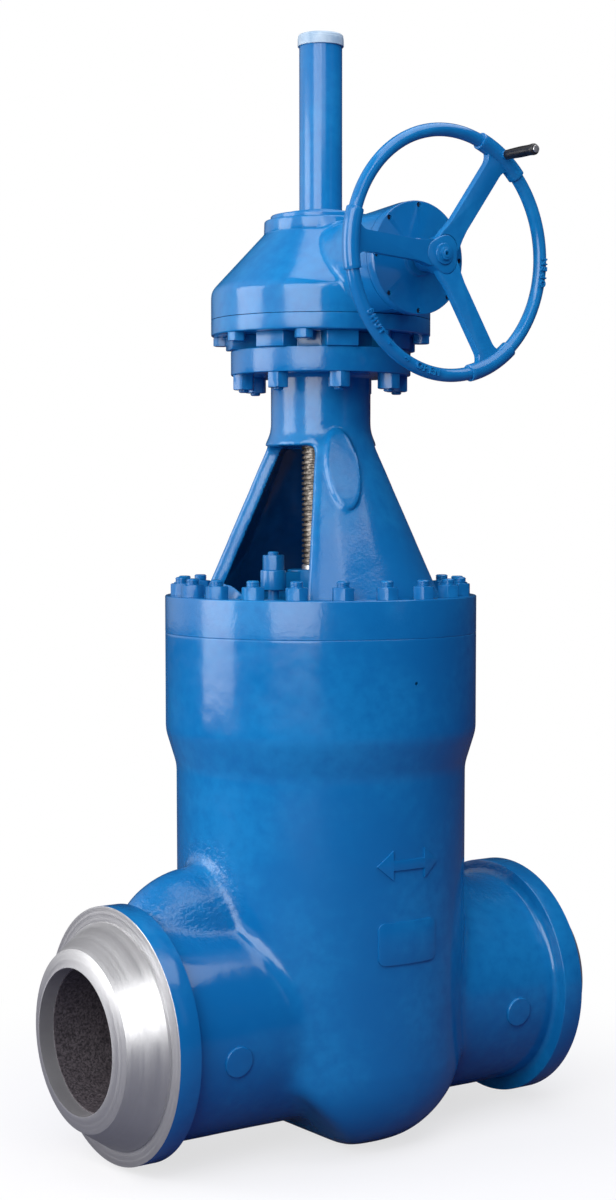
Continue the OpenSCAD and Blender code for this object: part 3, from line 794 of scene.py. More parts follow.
def dress(piece: bpy.types.Object, base: bpy.types.Material,
          *patches: tuple[bpy.types.Material, Test]) -> bpy.types.Object:
    """Paint a piece, then repaint the faces that pass each patch's test.

    Args:
        piece: The piece to paint.
        base: Material of the whole piece.
        patches: Pairs of material and face test.

    Returns:
        The same piece.
    """
    piece.data.materials.clear()
    for material in (base, *(patch[0] for patch in patches)):
        piece.data.materials.append(material)
    with editing(piece, "FACE"):
        bpy.ops.mesh.select_all(action="SELECT")
        piece.active_material_index = 0
        bpy.ops.object.material_slot_assign()
        for index, (_, test) in enumerate(patches, start=1):
            pick_faces(piece, test)
            piece.active_material_index = index
            bpy.ops.object.material_slot_assign()
    return piece


def deliver(piece: bpy.types.Object, name: str, slot: str, *nodes: str, body: str = "valve",
            angle: float = 32) -> bpy.types.Object:
    """Name a finished piece, shade it, tie it to its body and report it.

    Args:
        piece: The finished piece.
        name: Its name.
        slot: Material slot of the record; not used.
        nodes: Frame nodes that it stands for.
        body: Body that it rides on.
        angle: Edges sharper than this, in degrees, stay crisp.

    Returns:
        The same piece.
    """
    piece.name = name
    piece.data.name = name
    piece.vertex_groups.clear()
    take(piece)
    bpy.ops.object.shade_smooth_by_angle(angle=math.radians(angle))
    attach(piece, body)
    if nodes:
        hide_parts(*nodes)
    triangles = sum(len(face.vertices) - 2 for face in piece.data.polygons)
    LOG.info("%s: %d triangles for %s", name, triangles, ", ".join(nodes) or "no node")
    return piece


# ----------------------------------------------------------------- body casting

@dataclass
class BodyCasting:
    """The one-piece cast body with its weld ends, shoulders and bore."""

    shop: Paintshop
    neck: float = 0.424
    top: float = 0.4549
    taper_low: float = 0.716
    taper_high: float = 0.817
    bowl: float = 0.373
    bowl_round: float = 0.239
    keel: float = 0.190
    stub: float = 0.318
    shoulder_z: float = 0.202
    shoulders: tuple[tuple[float, tuple[float, float, float]], ...] = (
        (-0.427, (0.285, 0.160, 0.248)), (0.400, (0.200, 0.150, 0.180)))
    boss: float = 0.044
    boss_x: float = 0.5005
    boss_top: float = 0.3235
    boss_tilt: float = 7.0
    collar: float = 0.361
    collar_back: float = 0.6465
    collar_face: float = 0.7155
    cone: float = 0.317
    step: float = 0.007
    pipe: float = 0.254
    bevel_length: float = 0.0165
    lip: float = 0.207
    bore: float = 0.204
    bore_depth: float = 0.046
    port: float = 0.200
    band: float = 0.012
    half: float = HALF_RUN

    def surfaces(self) -> list[Distance]:
        """Distances to the outer surfaces that meet in cast corners.

        Returns:
            The distance functions.
        """
        flank = math.sqrt(0.5)
        foot = self.keel * flank
        keel_z = self.keel - self.bowl

        def neck(p: Vector) -> float:
            """Distance to the round neck."""
            return math.hypot(p.x - AXIS_X, p.y) - self.neck

        def stub(p: Vector) -> float:
            """Distance to the pipe stubs."""
            return math.hypot(p.y, p.z) - self.stub

        def hump(p: Vector) -> float:
            """Distance to the shoulder on this side of the axis."""
            place, (along, across, up) = self.shoulders[p.x > AXIS_X]
            return (math.hypot((p.x - AXIS_X - place) / along, p.y / across,
                               (p.z - self.shoulder_z) / up) - 1) * across

        def side(p: Vector) -> float:
            """Distance to the keel's slanted flanks."""
            return (abs(p.x - AXIS_X) - foot - (p.z - keel_z + foot)) * flank

        def bottom(p: Vector) -> float:
            """Distance to the flat underside."""
            return p.z + self.bowl

        def bowl(p: Vector) -> float:
            """Distance to the rounded edge of the bowl."""
            ring = math.hypot(p.x - AXIS_X, p.y) - (self.neck - self.bowl_round)
            if ring < 0 or p.z > self.bowl_round - self.bowl:
                return self.neck
            return math.hypot(ring, p.z - self.bowl_round + self.bowl) - self.bowl_round

        return [neck, stub, hump, side, bottom, bowl]

    def core(self) -> bpy.types.Object:
        """Cast the neck, bowl, stubs and shoulders as one.

        Returns:
            The casting.
        """
        neck = turned(soften([
            (0, -self.bowl), (self.neck - 0.001, -self.bowl, self.bowl_round - 0.002),
            (self.neck, self.taper_low, 0.12), (self.top, self.taper_high, 0.12),
            (self.top, JOINT_Z + 0.03), (0, JOINT_Z + 0.03)], steps=14), steps=384)
        foot = self.keel * math.sqrt(0.5)
        for side in (-1, 1):
            slice_off(neck, (AXIS_X + side * foot, 0, self.keel - self.bowl - foot),
                      (side, 0, -1))
        end = self.collar_back + 0.015
        stubs = turned([(0, -end), (self.stub, -end), (self.stub, end), (0, end)],
                       Way.RIGHT, steps=384)
        humps = []
        for place, sizes in self.shoulders:
            deselect_all()
            bpy.ops.mesh.primitive_uv_sphere_add(
                segments=160, ring_count=80, radius=1, scale=sizes,
                location=(AXIS_X + place, 0, self.shoulder_z))
            humps.append(settle(bpy.context.object))
        foundry = Foundry(voxel=0.0095, reach=0.075, passes=60)
        casting = foundry.cast([neck, stubs, *humps], self.surfaces())
        slice_off(casting, (AXIS_X, 0, JOINT_Z - self.band / 2), (0, 0, 1))
        return casting

    def weld_end(self, way: Way) -> bpy.types.Object:
        """Turn the collar, cone and lip of one end.

        Args:
            way: Direction in which the end points.

        Returns:
            The turned end.
        """
        half = self.half
        outline = [(0.0, 0.56), (self.stub - 0.02, 0.56)]
        outline += sink_fillet(self.stub, self.collar_back, 0.022)
        outline += soften([
            (self.stub + 0.02, self.collar_back), (self.collar, self.collar_back, 0.003),
            (self.collar, self.collar_face, 0.002), (self.cone, self.collar_face),
            (self.cone, self.collar_face + self.step, 0.001),
            (self.pipe, half - self.bevel_length), (self.lip, half), (0, half)], 3)[1:]
        return turned(outline, way, steps=160)

    def cavity(self) -> bpy.types.Object:
        """Tool for the bore, the seat pockets, the gate's slot and the chamber.

        Returns:
            The tool.
        """
        half = self.half
        deep = half - self.bore_depth
        steps = [(0.0, half + 0.02), (self.bore, half + 0.02), (self.bore, deep),
                 (self.port, deep), (self.port, 0.176), (0.2345, 0.176), (0.2345, 0.15),
                 (0.285, 0.15)]
        run = turned([(r, -x) for r, x in steps] + [(r, x) for r, x in reversed(steps)],
                     Way.RIGHT, steps=128)
        slot = block((AXIS_X - 0.15, -0.285, 0), (AXIS_X + 0.15, 0.285, 0.28))
        chamber = turned([(0, 0.27), (0.3, 0.27), (0.3, JOINT_Z + 0.1), (0, JOINT_Z + 0.1)])
        vent = turned([(0, 0.28), (0.005, 0.28), (0.005, 0.5), (0, 0.5)], Way.FRONT,
                      (AXIS_X, 0, 0.978), steps=32)
        for part in (slot, chamber, vent):
            combine(run, part, Blend.ADD)
        return run

    def bosses(self) -> list[bpy.types.Object]:
        """The round pads low on the front and back of both stubs.

        Returns:
            The pads.
        """
        pads = []
        for side in (-1, 1):
            for face in (0, math.pi):
                pad = turned(soften([(0, 0.28), (self.boss, 0.28),
                                     (self.boss, self.boss_top, 0.004),
                                     (0, self.boss_top)]), Way.FRONT,
                             (AXIS_X + side * self.boss_x, 0, 0), steps=96)
                turn(pad, math.radians(self.boss_tilt), "X", (AXIS_X, 0, 0))
                pads.append(turn(pad, face, "Z") if face else pad)
        return pads

    def flow_mark(self) -> bpy.types.Object:
        """Raised arrow with two points and a blank pad on the front of the neck.

        Returns:
            The arrow and the pad as one object.
        """
        arrow = slab([(-0.105, 0), (-0.055, 0.042), (-0.055, 0.014), (0.055, 0.014),
                      (0.055, 0.042), (0.105, 0), (0.055, -0.042), (0.055, -0.014),
                      (-0.055, -0.014), (-0.055, -0.042)], 0.08, Way.FRONT,
                     (AXIS_X, -0.36, 0.47))
        pad = slab(soften([(0, -0.06), (0.10, -0.06, 0.02), (0.10, 0.06, 0.02),
                           (-0.10, 0.06, 0.02), (-0.10, -0.06, 0.02), (-0.0001, -0.06)]),
                   0.08, Way.FRONT, (AXIS_X, -0.36, 0.25))
        marks = join([arrow, pad])
        skin = self.neck + 0.005
        combine(marks, turned([(0, 0), (skin, 0), (skin, 0.7), (0, 0.7)], steps=384),
                Blend.KEEP)
        return bevel(marks, 0.0025, 3)

    def build(self) -> None:
        """Model, paint and deliver the body."""
        body = self.core()
        band = turned(soften([
            (0, JOINT_Z - 0.05), (self.top - 0.02, JOINT_Z - 0.05),
            (self.top - 0.0012, JOINT_Z - self.band), (self.top, JOINT_Z - self.band + 0.0012),
            (self.top, JOINT_Z, 0.002), (0, JOINT_Z)], 3), steps=192)
        tools = [band, self.weld_end(Way.LEFT), self.weld_end(Way.RIGHT), *self.bosses(),
                 self.flow_mark()]
        for tool in tools:
            combine(body, tool, Blend.ADD)
        combine(body, self.cavity(), Blend.CUT)
        with editing(body):
            heal()

        def outside(spot: Vector) -> float:
            """Distance from the valve's axis along the pipe."""
            return abs(spot.x - AXIS_X)

        def machined(spot: Vector, normal: Vector) -> bool:
            """Say whether a face belongs to a bare weld end."""
            return outside(spot) > self.collar_face - 0.001 and abs(normal.x) > 0.02 \
                or outside(spot) > self.collar_face + 0.001

        def rough(spot: Vector, normal: Vector) -> bool:
            """Say whether a face belongs to the bore."""
            radius = math.hypot(spot.y, spot.z)
            return outside(spot) < self.half - self.bore_depth + 0.001 and radius < 0.3 \
                and spot.z < 0.31 and normal.dot(Vector((0, spot.y, spot.z))) < 0.0001

        def chamber(spot: Vector, normal: Vector) -> bool:
            """Say whether a face belongs to the chamber over the bore."""
            return math.hypot(spot.x - AXIS_X, spot.y) < 0.302 and spot.z > 0.2 \
                and spot.z < JOINT_Z - 0.001

        dress(body, self.shop.cast, (self.shop.steel, machined), (self.shop.bore, rough),
              (self.shop.bore, chamber))
        deliver(body, "body_casting", "blue_enamel", "body", angle=30)


# ------------------------------------------------------------------- fasteners

def hexagon_nut(flats: float, height: float, foot: Sequence[float],
                chamfered_ends: Sequence[bool] = (False, True)) -> bpy.types.Object:
    """Model a hexagon with its corners turned off, as on a nut or a bolt head.

    Args:
        flats: Width across the flats.
        height: Height above the foot.
        foot: Middle of its lower face.
        chamfered_ends: Whether the lower and the upper face are chamfered.

    Returns:
        The hexagon.
    """
    corner = flats / math.sqrt(3)
    drop = (corner - flats / 2) * 0.62
    deselect_all()
    bpy.ops.mesh.primitive_cylinder_add(
        vertices=6, radius=corner, depth=height,
        location=(foot[0], foot[1], foot[2] + height / 2), rotation=(0, 0, math.pi / 6))
    nut = bevel(settle(bpy.context.object), flats * 0.012, 1)
    low, high = (drop if cut else 0 for cut in chamfered_ends)
    rim = corner + 0.001
    face = flats / 2 * 0.98
    shell = turned([(0, 0), (face if low else rim, 0), (rim, low), (rim, height - high),
                    (face if high else rim, height), (0, height)], Way.UP, foot, 36)
    return combine(nut, shell, Blend.KEEP)


def stud(radius: float, length: float, tip: float, foot: Sequence[float],
         way: Way = Way.UP) -> bpy.types.Object:
    """Turn a stud whose free end shows thread crests and a chamfer.

    Args:
        radius: Thread radius.
        length: Length from the foot to the end of the tip.
        tip: Length of the threaded end that shows.
        foot: Hidden end of the stud.
        way: Direction in which it stands.

    Returns:
        The stud.
    """
    pitch = 0.004
    outline: Outline = [(0, 0), (radius, 0), (radius, length - tip)]
    for turn_number in range(int((tip - 0.004) / pitch)):
        low = length - tip + turn_number * pitch
        outline += [(radius, low + 0.0014), (radius - 0.0016, low + 0.0022),
                    (radius - 0.0016, low + 0.0028), (radius, low + 0.0036)]
    outline += [(radius, length - 0.0035), (radius - 0.003, length - 0.0006),
                (radius - 0.005, length), (0, length)]
    return turned(outline, way, foot, 24)


@dataclass
class Fasteners:
    """Studs and nuts of the cover ring, the yoke flange and the gland."""

    shop: Paintshop
    ring_circle: float = 0.408
    ring_count: int = 20
    ring_stud: float = 0.018
    ring_flats: float = 0.056
    ring_nut: float = 0.035
    flange_circle: float = 0.228
    flange_count: int = 8
    flange_stud: float = 0.015
    flange_flats: float = 0.056
    flange_nut: float = 0.043
    flange_tip: float = 0.008
    tip: float = 0.018

    def ring(self) -> None:
        """Twenty studs with nuts on the cover ring."""
        spot = (AXIS_X + self.ring_circle, 0, RING_TOP)
        first = math.pi / self.ring_count
        nut = hexagon_nut(self.ring_flats, self.ring_nut, spot)
        nuts = []
        for step in range(self.ring_count):
            copy = turn(copy_of(nut), math.radians(step * 37 % 60), "Z", spot)
            nuts.append(turn(copy, first + step * math.tau / self.ring_count))
        bpy.data.objects.remove(nut)
        deliver(dress(join(nuts), self.shop.bolts), "ring_nuts", "blue_enamel", "yoke_nuts")
        below = 0.02
        rod = stud(self.ring_stud, below + self.ring_nut + self.tip, self.tip,
                   (spot[0], 0, RING_TOP - below))
        rods = circle_of(rod, self.ring_count, first)
        deliver(dress(rods, self.shop.bolts), "ring_studs", "blue_enamel", "yoke_studs")

    def flange(self) -> None:
        """Eight studs with nuts hanging under the yoke's top flange."""
        flange_low = YOKE_TOP - Yoke.flange_thick
        first = math.pi / self.flange_count
        spot = (AXIS_X + self.flange_circle, 0, flange_low - self.flange_nut)
        nut = hexagon_nut(self.flange_flats, self.flange_nut, spot, (True, False))
        nuts = []
        for step in range(self.flange_count):
            copy = turn(copy_of(nut), math.radians(step * 23 % 60), "Z", spot)
            nuts.append(turn(copy, first + step * math.tau / self.flange_count))
        bpy.data.objects.remove(nut)
        deliver(dress(join(nuts), self.shop.bolts), "operator_nuts", "blue_enamel",
                "flange_nuts")
        length = self.flange_nut + self.flange_tip + 0.02
        rod = stud(self.flange_stud, length, self.flange_tip,
                   (AXIS_X + self.flange_circle, 0, 0))
        turn(rod, math.pi, "Y", (AXIS_X + self.flange_circle, 0, 0))
        shift(rod, (0, 0, flange_low + 0.02))
        rods = circle_of(rod, self.flange_count, first)
        deliver(dress(rods, self.shop.bolts), "operator_studs", "blue_enamel", "flange_studs")

    def build(self) -> None:
        """Model, paint and deliver all of them."""
        self.ring()
        self.flange()


# ------------------------------------------------------------------------ yoke

@dataclass
class Yoke:
    """Cover ring, coned yoke with two windows, neck and top flange in one casting."""

    shop: Paintshop
    ring: float = 0.4549
    ring_bore: float = 0.308
    base: float = 0.355
    neck: float = 0.145
    neck_z: float = 1.684
    crown_z: float = 1.640
    wall: float = 0.050
    half_angle: float = 48.0
    crown_face: float = 0.092
    arm_end: float = 1.700
    edge_reach: float = 0.045
    flange: float = 0.261
    flange_thick: float = 0.070
    stem_bore: float = 0.061

    @property
    def slope(self) -> float:
        """Angle of the cone's side from upright."""
        return math.atan2(self.base - self.neck, self.neck_z - RING_TOP)

    def cone_radius(self, height: float) -> float:
        """Outer radius of the cone at a height."""
        share = (height - RING_TOP) / (self.neck_z - RING_TOP)
        return self.base + (self.neck - self.base) * share

    def surfaces(self) -> list[Distance]:
        """Distances to the surfaces that meet in cast corners.

        Returns:
            The distance functions.
        """
        lean = math.cos(self.slope)
        edge = math.radians(self.half_angle)

        def outer(p: Vector) -> float:
            """Distance to the cone's outside."""
            return (math.hypot(p.x - AXIS_X, p.y) - self.cone_radius(p.z)) * lean

        def inner(p: Vector) -> float:
            """Distance to the cone's inside."""
            return outer(p) + self.wall * lean

        def neck(p: Vector) -> float:
            """Distance to the round neck."""
            return math.hypot(p.x - AXIS_X, p.y) - self.neck

        def side(p: Vector) -> float:
            """Distance to the sides of the windows."""
            return abs(p.x - AXIS_X) * math.sin(edge) - abs(p.y) * math.cos(edge)

        def crown(p: Vector) -> float:
            """Height over the top of the windows."""
            return p.z - self.crown_z

        def face(p: Vector) -> float:
            """Distance to the two upright planes beside the crown."""
            return abs(p.x - AXIS_X) - self.crown_face

        return [outer, inner, neck, side, crown, face]

    def sector(self, low: float, high: float) -> bpy.types.Object:
        """Model the space between the arms on one side, from one height to another.

        Args:
            low: Height of the underside.
            high: Height of the top.

        Returns:
            The tool.
        """
        edge = math.radians(self.half_angle)
        reach = 0.5
        wing = (reach * math.cos(edge), reach * math.sin(edge))
        return slab([(0, 0), (wing[0], -wing[1]), wing], high - low, Way.UP,
                    (AXIS_X, 0, low))

    def cone(self) -> bpy.types.Object:
        """Cast the cone with its windows and the neck.

        Returns:
            The casting.
        """
        low = RING_TOP - 0.03
        outside = turned(soften([
            (0, low), (self.cone_radius(low), low), (self.neck, self.neck_z, 0.10),
            (self.neck, YOKE_TOP - 0.02), (0, YOKE_TOP - 0.02)], 12), steps=256)
        inside = turned([
            (0, low - 0.01), (self.cone_radius(low - 0.01) - self.wall, low - 0.01),
            (self.cone_radius(self.crown_z) - self.wall, self.crown_z), (0, self.crown_z)],
            steps=160)
        combine(outside, inside, Blend.CUT)
        window = self.sector(low - 0.01, self.crown_z)
        other = turn(copy_of(window), math.pi)
        combine(outside, window, Blend.CUT)
        combine(outside, other, Blend.CUT)
        pads = [self.pad(angle) for angle in (-107, 73)]
        foundry = Foundry(voxel=0.0052, reach=0.026, passes=14)
        yoke = foundry.cast([outside, *pads], self.surfaces())
        return self.round_edges(yoke)

    def round_edges(self, yoke: bpy.types.Object) -> bpy.types.Object:
        """Round the outer edges of both arms broadly along the windows.

        Args:
            yoke: The casting.

        Returns:
            The same casting.
        """
        outer, _, _, side, _, _ = self.surfaces()
        soft = yoke.vertex_groups.new(name="edges")
        for vertex in yoke.data.vertices:
            spot = vertex.co
            weight = corner_weight(spot, [outer, side], self.edge_reach)
            if spot.z < self.arm_end + 0.02:
                soft.add([vertex.index], weight, "REPLACE")
        return modify(yoke, "SMOOTH", factor=0.5, iterations=60, vertex_group="edges")

    def pad(self, angle: float) -> bpy.types.Object:
        """A raised oval pad high on one arm.

        Args:
            angle: Its place around the valve in degrees from the right.

        Returns:
            The pad, leaning with the cone.
        """
        height = 1.565
        radius = self.cone_radius(height)
        deselect_all()
        bpy.ops.mesh.primitive_cylinder_add(
            vertices=64, radius=1, depth=0.05, location=(AXIS_X + radius - 0.016, 0, height),
            rotation=(0, math.pi / 2 - self.slope, 0), scale=(0.125, 0.050, 1))
        return turn(bevel(settle(bpy.context.object), 0.006, 4), math.radians(angle))

    def build(self) -> None:
        """Model, paint and deliver the yoke."""
        yoke = self.cone()
        ring = turned(soften([
            (self.ring_bore, JOINT_Z), (self.ring - 0.0012, JOINT_Z),
            (self.ring, JOINT_Z + 0.0016), (self.ring, RING_TOP, 0.004),
            (self.base + 0.024, RING_TOP), (self.base + 0.022, RING_TOP - 0.002),
            (self.base - 0.015, RING_TOP - 0.002), (self.ring_bore, RING_TOP - 0.002),
            (self.ring_bore, JOINT_Z)], 4), steps=192)
        low = YOKE_TOP - self.flange_thick
        outline = [(0.0, low - 0.03), (self.neck - 0.02, low - 0.03)]
        outline += sink_fillet(self.neck, low, 0.020)
        outline += soften([(self.neck + 0.02, low), (self.flange, low, 0.003),
                           (self.flange, YOKE_TOP, 0.003), (0, YOKE_TOP)], 3)[1:]
        combine(yoke, ring, Blend.ADD)
        combine(yoke, turned(outline, steps=144), Blend.ADD)
        combine(yoke, turned([(0, RING_TOP), (self.stem_bore, RING_TOP),
                              (self.stem_bore, YOKE_TOP + 0.01), (0, YOKE_TOP + 0.01)]),
                Blend.CUT)
        with editing(yoke):
            heal()
        # The faces towards the stem inside the cone get the darker enamel as painted shade.
        deliver(dress(yoke, self.shop.yoke, (self.shop.inside, self.painted_shade_faces)),
                "yoke_casting", "blue_enamel", "yoke")

    def painted_shade_faces(self, spot: Vector, normal: Vector) -> bool:
        """Say whether a face looks towards the stem from inside the cone, where the darker enamel
        paints the shade.
        """
        outward = Vector((spot.x - AXIS_X, spot.y, 0)).normalized()
        return normal.dot(outward) < -0.6 and RING_TOP < spot.z < self.arm_end


# ------------------------------------------------------------- stem and gland

@dataclass
class StemAndGland:
    """Rising stem with its thread, gland with two studs, and what lies under them."""

    shop: Paintshop
    radius: float = 0.055
    pitch: float = 0.015
    thread_depth: float = 0.0065
    thread_start: float = 1.30
    gland_x: float = 0.168
    gland_boss: float = 0.038
    web_start: float = 0.08
    web_half: float = 0.030
    gland_stud: float = 0.016
    gland_top: float = 1.285
    nut_flats: float = 0.056
    nut_height: float = 0.043

    def thread(self) -> bpy.types.Object:
        """Wind the stem's thread and close it at both ends.

        Returns:
            The thread.
        """
        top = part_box("stem")[1].z
        root = self.radius - self.thread_depth
        count = math.ceil((top - self.thread_start) / self.pitch) + 2
        low = self.thread_start - 1.5 * self.pitch
        shape = ((0.0, root), (0.0045, root), (0.0060, self.radius), (0.0135, self.radius))
        spots = [Vector((AXIS_X + r, 0, low + ring * self.pitch + z))
                 for ring in range(count) for z, r in shape]
        spots.append(Vector((AXIS_X + root, 0, low + count * self.pitch)))
        rod = draw(spots)
        bpy.ops.object.mode_set(mode="OBJECT")
        shift(rod, (-AXIS_X, 0, 0))
        modify(rod, "SCREW", axis="Z", angle=math.tau, screw_offset=self.pitch, steps=48,
               render_steps=48, use_merge_vertices=True, merge_threshold=WELD_GAP)
        shift(rod, (AXIS_X, 0, 0))
        with editing(rod):
            heal()
        slice_off(rod, (AXIS_X, 0, top), (0, 0, 1))
        return slice_off(rod, (AXIS_X, 0, self.thread_start), (0, 0, -1))

    def stem(self) -> None:
        """Model the whole stem: head, plain shank and thread."""
        low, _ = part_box("stem")
        head = self.radius + 0.026
        shank = turned(soften([
            (0, low.z), (head, low.z, 0.004), (head, low.z + 0.032, 0.004),
            (self.radius, low.z + 0.032), (self.radius, self.thread_start - 0.004),
            (self.radius - 0.006, self.thread_start), (0, self.thread_start)], 3), steps=64)
        rod = join([shank, self.thread()])
        top = self.thread_start - 0.002
        dress(rod, self.shop.thread, (self.shop.rod, lambda spot, normal: spot.z < top))
        deliver(rod, "threaded_stem", "thread_steel", "stem", body="stem", angle=40)

    def gland(self) -> None:
        """Model the gland follower, its bosses, studs and nuts."""
        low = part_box("gland_flange")[0].z
        plate_low = self.gland_top - 0.058
        follower = turned(soften([
            (self.radius + 0.002, low), (self.radius + 0.025, low),
            (self.radius + 0.025, plate_low), (0.098, plate_low, 0.004),
            (0.098, self.gland_top, 0.005), (self.radius + 0.002, self.gland_top),
            (self.radius + 0.002, low)], 3), steps=64)
        for side in (-1, 1):
            boss = turned(soften([
                (0, plate_low), (self.gland_boss, plate_low, 0.003),
                (self.gland_boss, self.gland_top, 0.004), (0, self.gland_top)], 3),
                Way.UP, (AXIS_X + side * self.gland_x, 0, 0), 48)
            left, right = sorted((side * self.web_start, side * self.gland_x))
            web = block((AXIS_X + left, -self.web_half, plate_low + 0.003),
                        (AXIS_X + right, self.web_half, self.gland_top - 0.006))
            combine(follower, boss, Blend.ADD)
            combine(follower, bevel(web, 0.004, 2), Blend.ADD)
        deliver(dress(follower, self.shop.smooth), "gland_follower", "blue_enamel",
                "gland_flange")
        nuts, rods = [], []
        for side in (-1, 1):
            spot = (AXIS_X + side * self.gland_x, 0, self.gland_top)
            nuts.append(turn(hexagon_nut(self.nut_flats, self.nut_height, spot),
                             math.radians(12), "Z", spot))
            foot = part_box("gland_studs")[0].z
            length = self.gland_top + self.nut_height + 0.010 - foot
            rods.append(stud(self.gland_stud, length, 0.010, (spot[0], 0, foot)))
        deliver(dress(join(nuts), self.shop.bolts), "gland_hexagons", "blue_enamel",
                "gland_nuts")
        deliver(dress(join(rods), self.shop.bolts), "gland_rods", "blue_enamel", "gland_studs")

    def build(self) -> None:
        """Model, paint and deliver the stem and the gland."""
        self.stem()
        self.gland()


# --------------------------------------------------------------- gear operator

@dataclass
class GearOperator:
    """Bevel gear operator: adapter, base, coned housing, input housing, covers, tube."""

    shop: Paintshop
    adapter: float = 0.205
    lug_width: float = 0.092
    lug_reach: float = 0.272
    drum: float = 0.318
    base_thick: float = 0.045
    drum_high: float = 2.085
    cone_high: float = 2.251
    lip: float = 0.163
    lip_high: float = 2.288
    cover: float = 0.145
    cover_high: float = 2.303
    cover_bore: float = 0.090
    input_back: float = 0.132
    input_front: float = 0.154
    input_start: float = 0.165
    input_end: float = 0.426
    input_cover_end: float = 0.458
    input_collar: float = 0.050
    screw_circle: float = 0.143
    bolt_circle: float = 0.292
    bolt_flats: float = 0.046
    bolt_head: float = 0.024
    tube: float = 0.062
    tube_wall: float = 0.004
    tube_foot: float = 0.103
    count: int = 8

    def surfaces(self) -> list[Distance]:
        """Distances to the surfaces that meet in cast corners.

        Returns:
            The distance functions.
        """
        fall = (self.drum - self.lip) / (self.cone_high - self.drum_high)
        lean = 1 / math.hypot(1, fall)
        widen = (self.input_front - self.input_back) / (self.input_end - self.input_start)

        def cone(p: Vector) -> float:
            """Distance to the housing's cone."""
            radius = math.hypot(p.x - AXIS_X, p.y)
            return (radius - self.drum + (p.z - self.drum_high) * fall) * lean

        def drum(p: Vector) -> float:
            """Distance to the drum."""
            return math.hypot(p.x - AXIS_X, p.y) - self.drum

        def sleeve(p: Vector) -> float:
            """Distance to the input housing."""
            radius = math.hypot(p.x - AXIS_X, p.z - WHEEL_HEIGHT)
            return radius - self.input_back + (p.y + self.input_start) * widen \
                if p.y < 0 else self.drum

        return [cone, drum, sleeve]

    def housing(self) -> None:
        """Cast the coned housing and its input housing as one."""
        low = DRUM_BOTTOM + self.base_thick
        cone = turned(soften([
            (0, low - 0.01), (self.drum, low - 0.01), (self.drum, self.drum_high, 0.03),
            (self.lip, self.cone_high), (self.lip, self.lip_high - 0.01),
            (0, self.lip_high - 0.01)], 8), steps=256)
        sleeve = turned([
            (0, 0.10), (self.input_back - 0.004, 0.10), (self.input_back, self.input_start),
            (self.input_front, self.input_end), (self.input_front, self.input_end + 0.015),
            (0, self.input_end + 0.015)], Way.FRONT, (AXIS_X, 0, WHEEL_HEIGHT), 256)
        foundry = Foundry(voxel=0.0058, reach=0.030, passes=24)
        housing = foundry.cast([cone, sleeve], self.surfaces())
        slice_off(housing, (AXIS_X, 0, low + 0.0012), (0, 0, -1))
        slice_off(housing, (AXIS_X, -self.input_end + 0.001, 0), (0, -1, 0))
        outline = [(0.0, self.cone_high - 0.02), (self.lip - 0.02, self.cone_high - 0.02),
                   (self.lip - 0.002, self.cone_high - 0.006),
                   (self.lip + 0.0015, self.cone_high + 0.001)]
        outline += soften([(self.lip + 0.0015, self.cone_high + 0.002),
                           (self.lip, self.lip_high, 0.005), (0, self.lip_high)], 3)[1:]
        combine(housing, turned(outline, steps=144), Blend.ADD)
        with editing(housing):
            heal()
        deliver(dress(housing, self.shop.cast_plain), "gear_casting", "blue_enamel",
                "gear_housing", "input_housing")

    def base(self) -> None:
        """Turn the base plate and model the lugged adapter under it."""
        low, high = DRUM_BOTTOM, DRUM_BOTTOM + self.base_thick
        plate = turned(soften([(0, low), (self.drum, low, 0.004), (self.drum, high, 0.0018),
                               (0, high)], 3), steps=144)
        deliver(dress(plate, self.shop.smooth), "operator_base", "blue_enamel",
                "housing_base")
        adapter = turned(soften([(0, YOKE_TOP), (self.adapter, YOKE_TOP, 0.002),
                                 (self.adapter, low, 0.002), (0, low)], 2), steps=96)
        lug = block((AXIS_X, -self.lug_width / 2, YOKE_TOP),
                    (AXIS_X + self.lug_reach, self.lug_width / 2, low))
        lug = bevel(lug, 0.003, 2)
        for step in range(self.count):
            arm = turn(copy_of(lug), (step + 0.5) * math.tau / self.count)
            combine(adapter, arm, Blend.ADD)
        bpy.data.objects.remove(lug)
        deliver(dress(adapter, self.shop.smooth), "lugged_adapter", "blue_enamel", "adapter")
        spot = (AXIS_X + self.bolt_circle, 0, low - self.bolt_head)
        head = hexagon_nut(self.bolt_flats, self.bolt_head, spot, (True, False))
        heads = []
        for step in range(self.count):
            copy = turn(copy_of(head), math.radians(step * 41 % 60), "Z", spot)
            heads.append(turn(copy, step * math.tau / self.count))
        bpy.data.objects.remove(head)
        deliver(dress(join(heads), self.shop.bolts), "base_bolts", "blue_enamel",
                "housing_bolts")

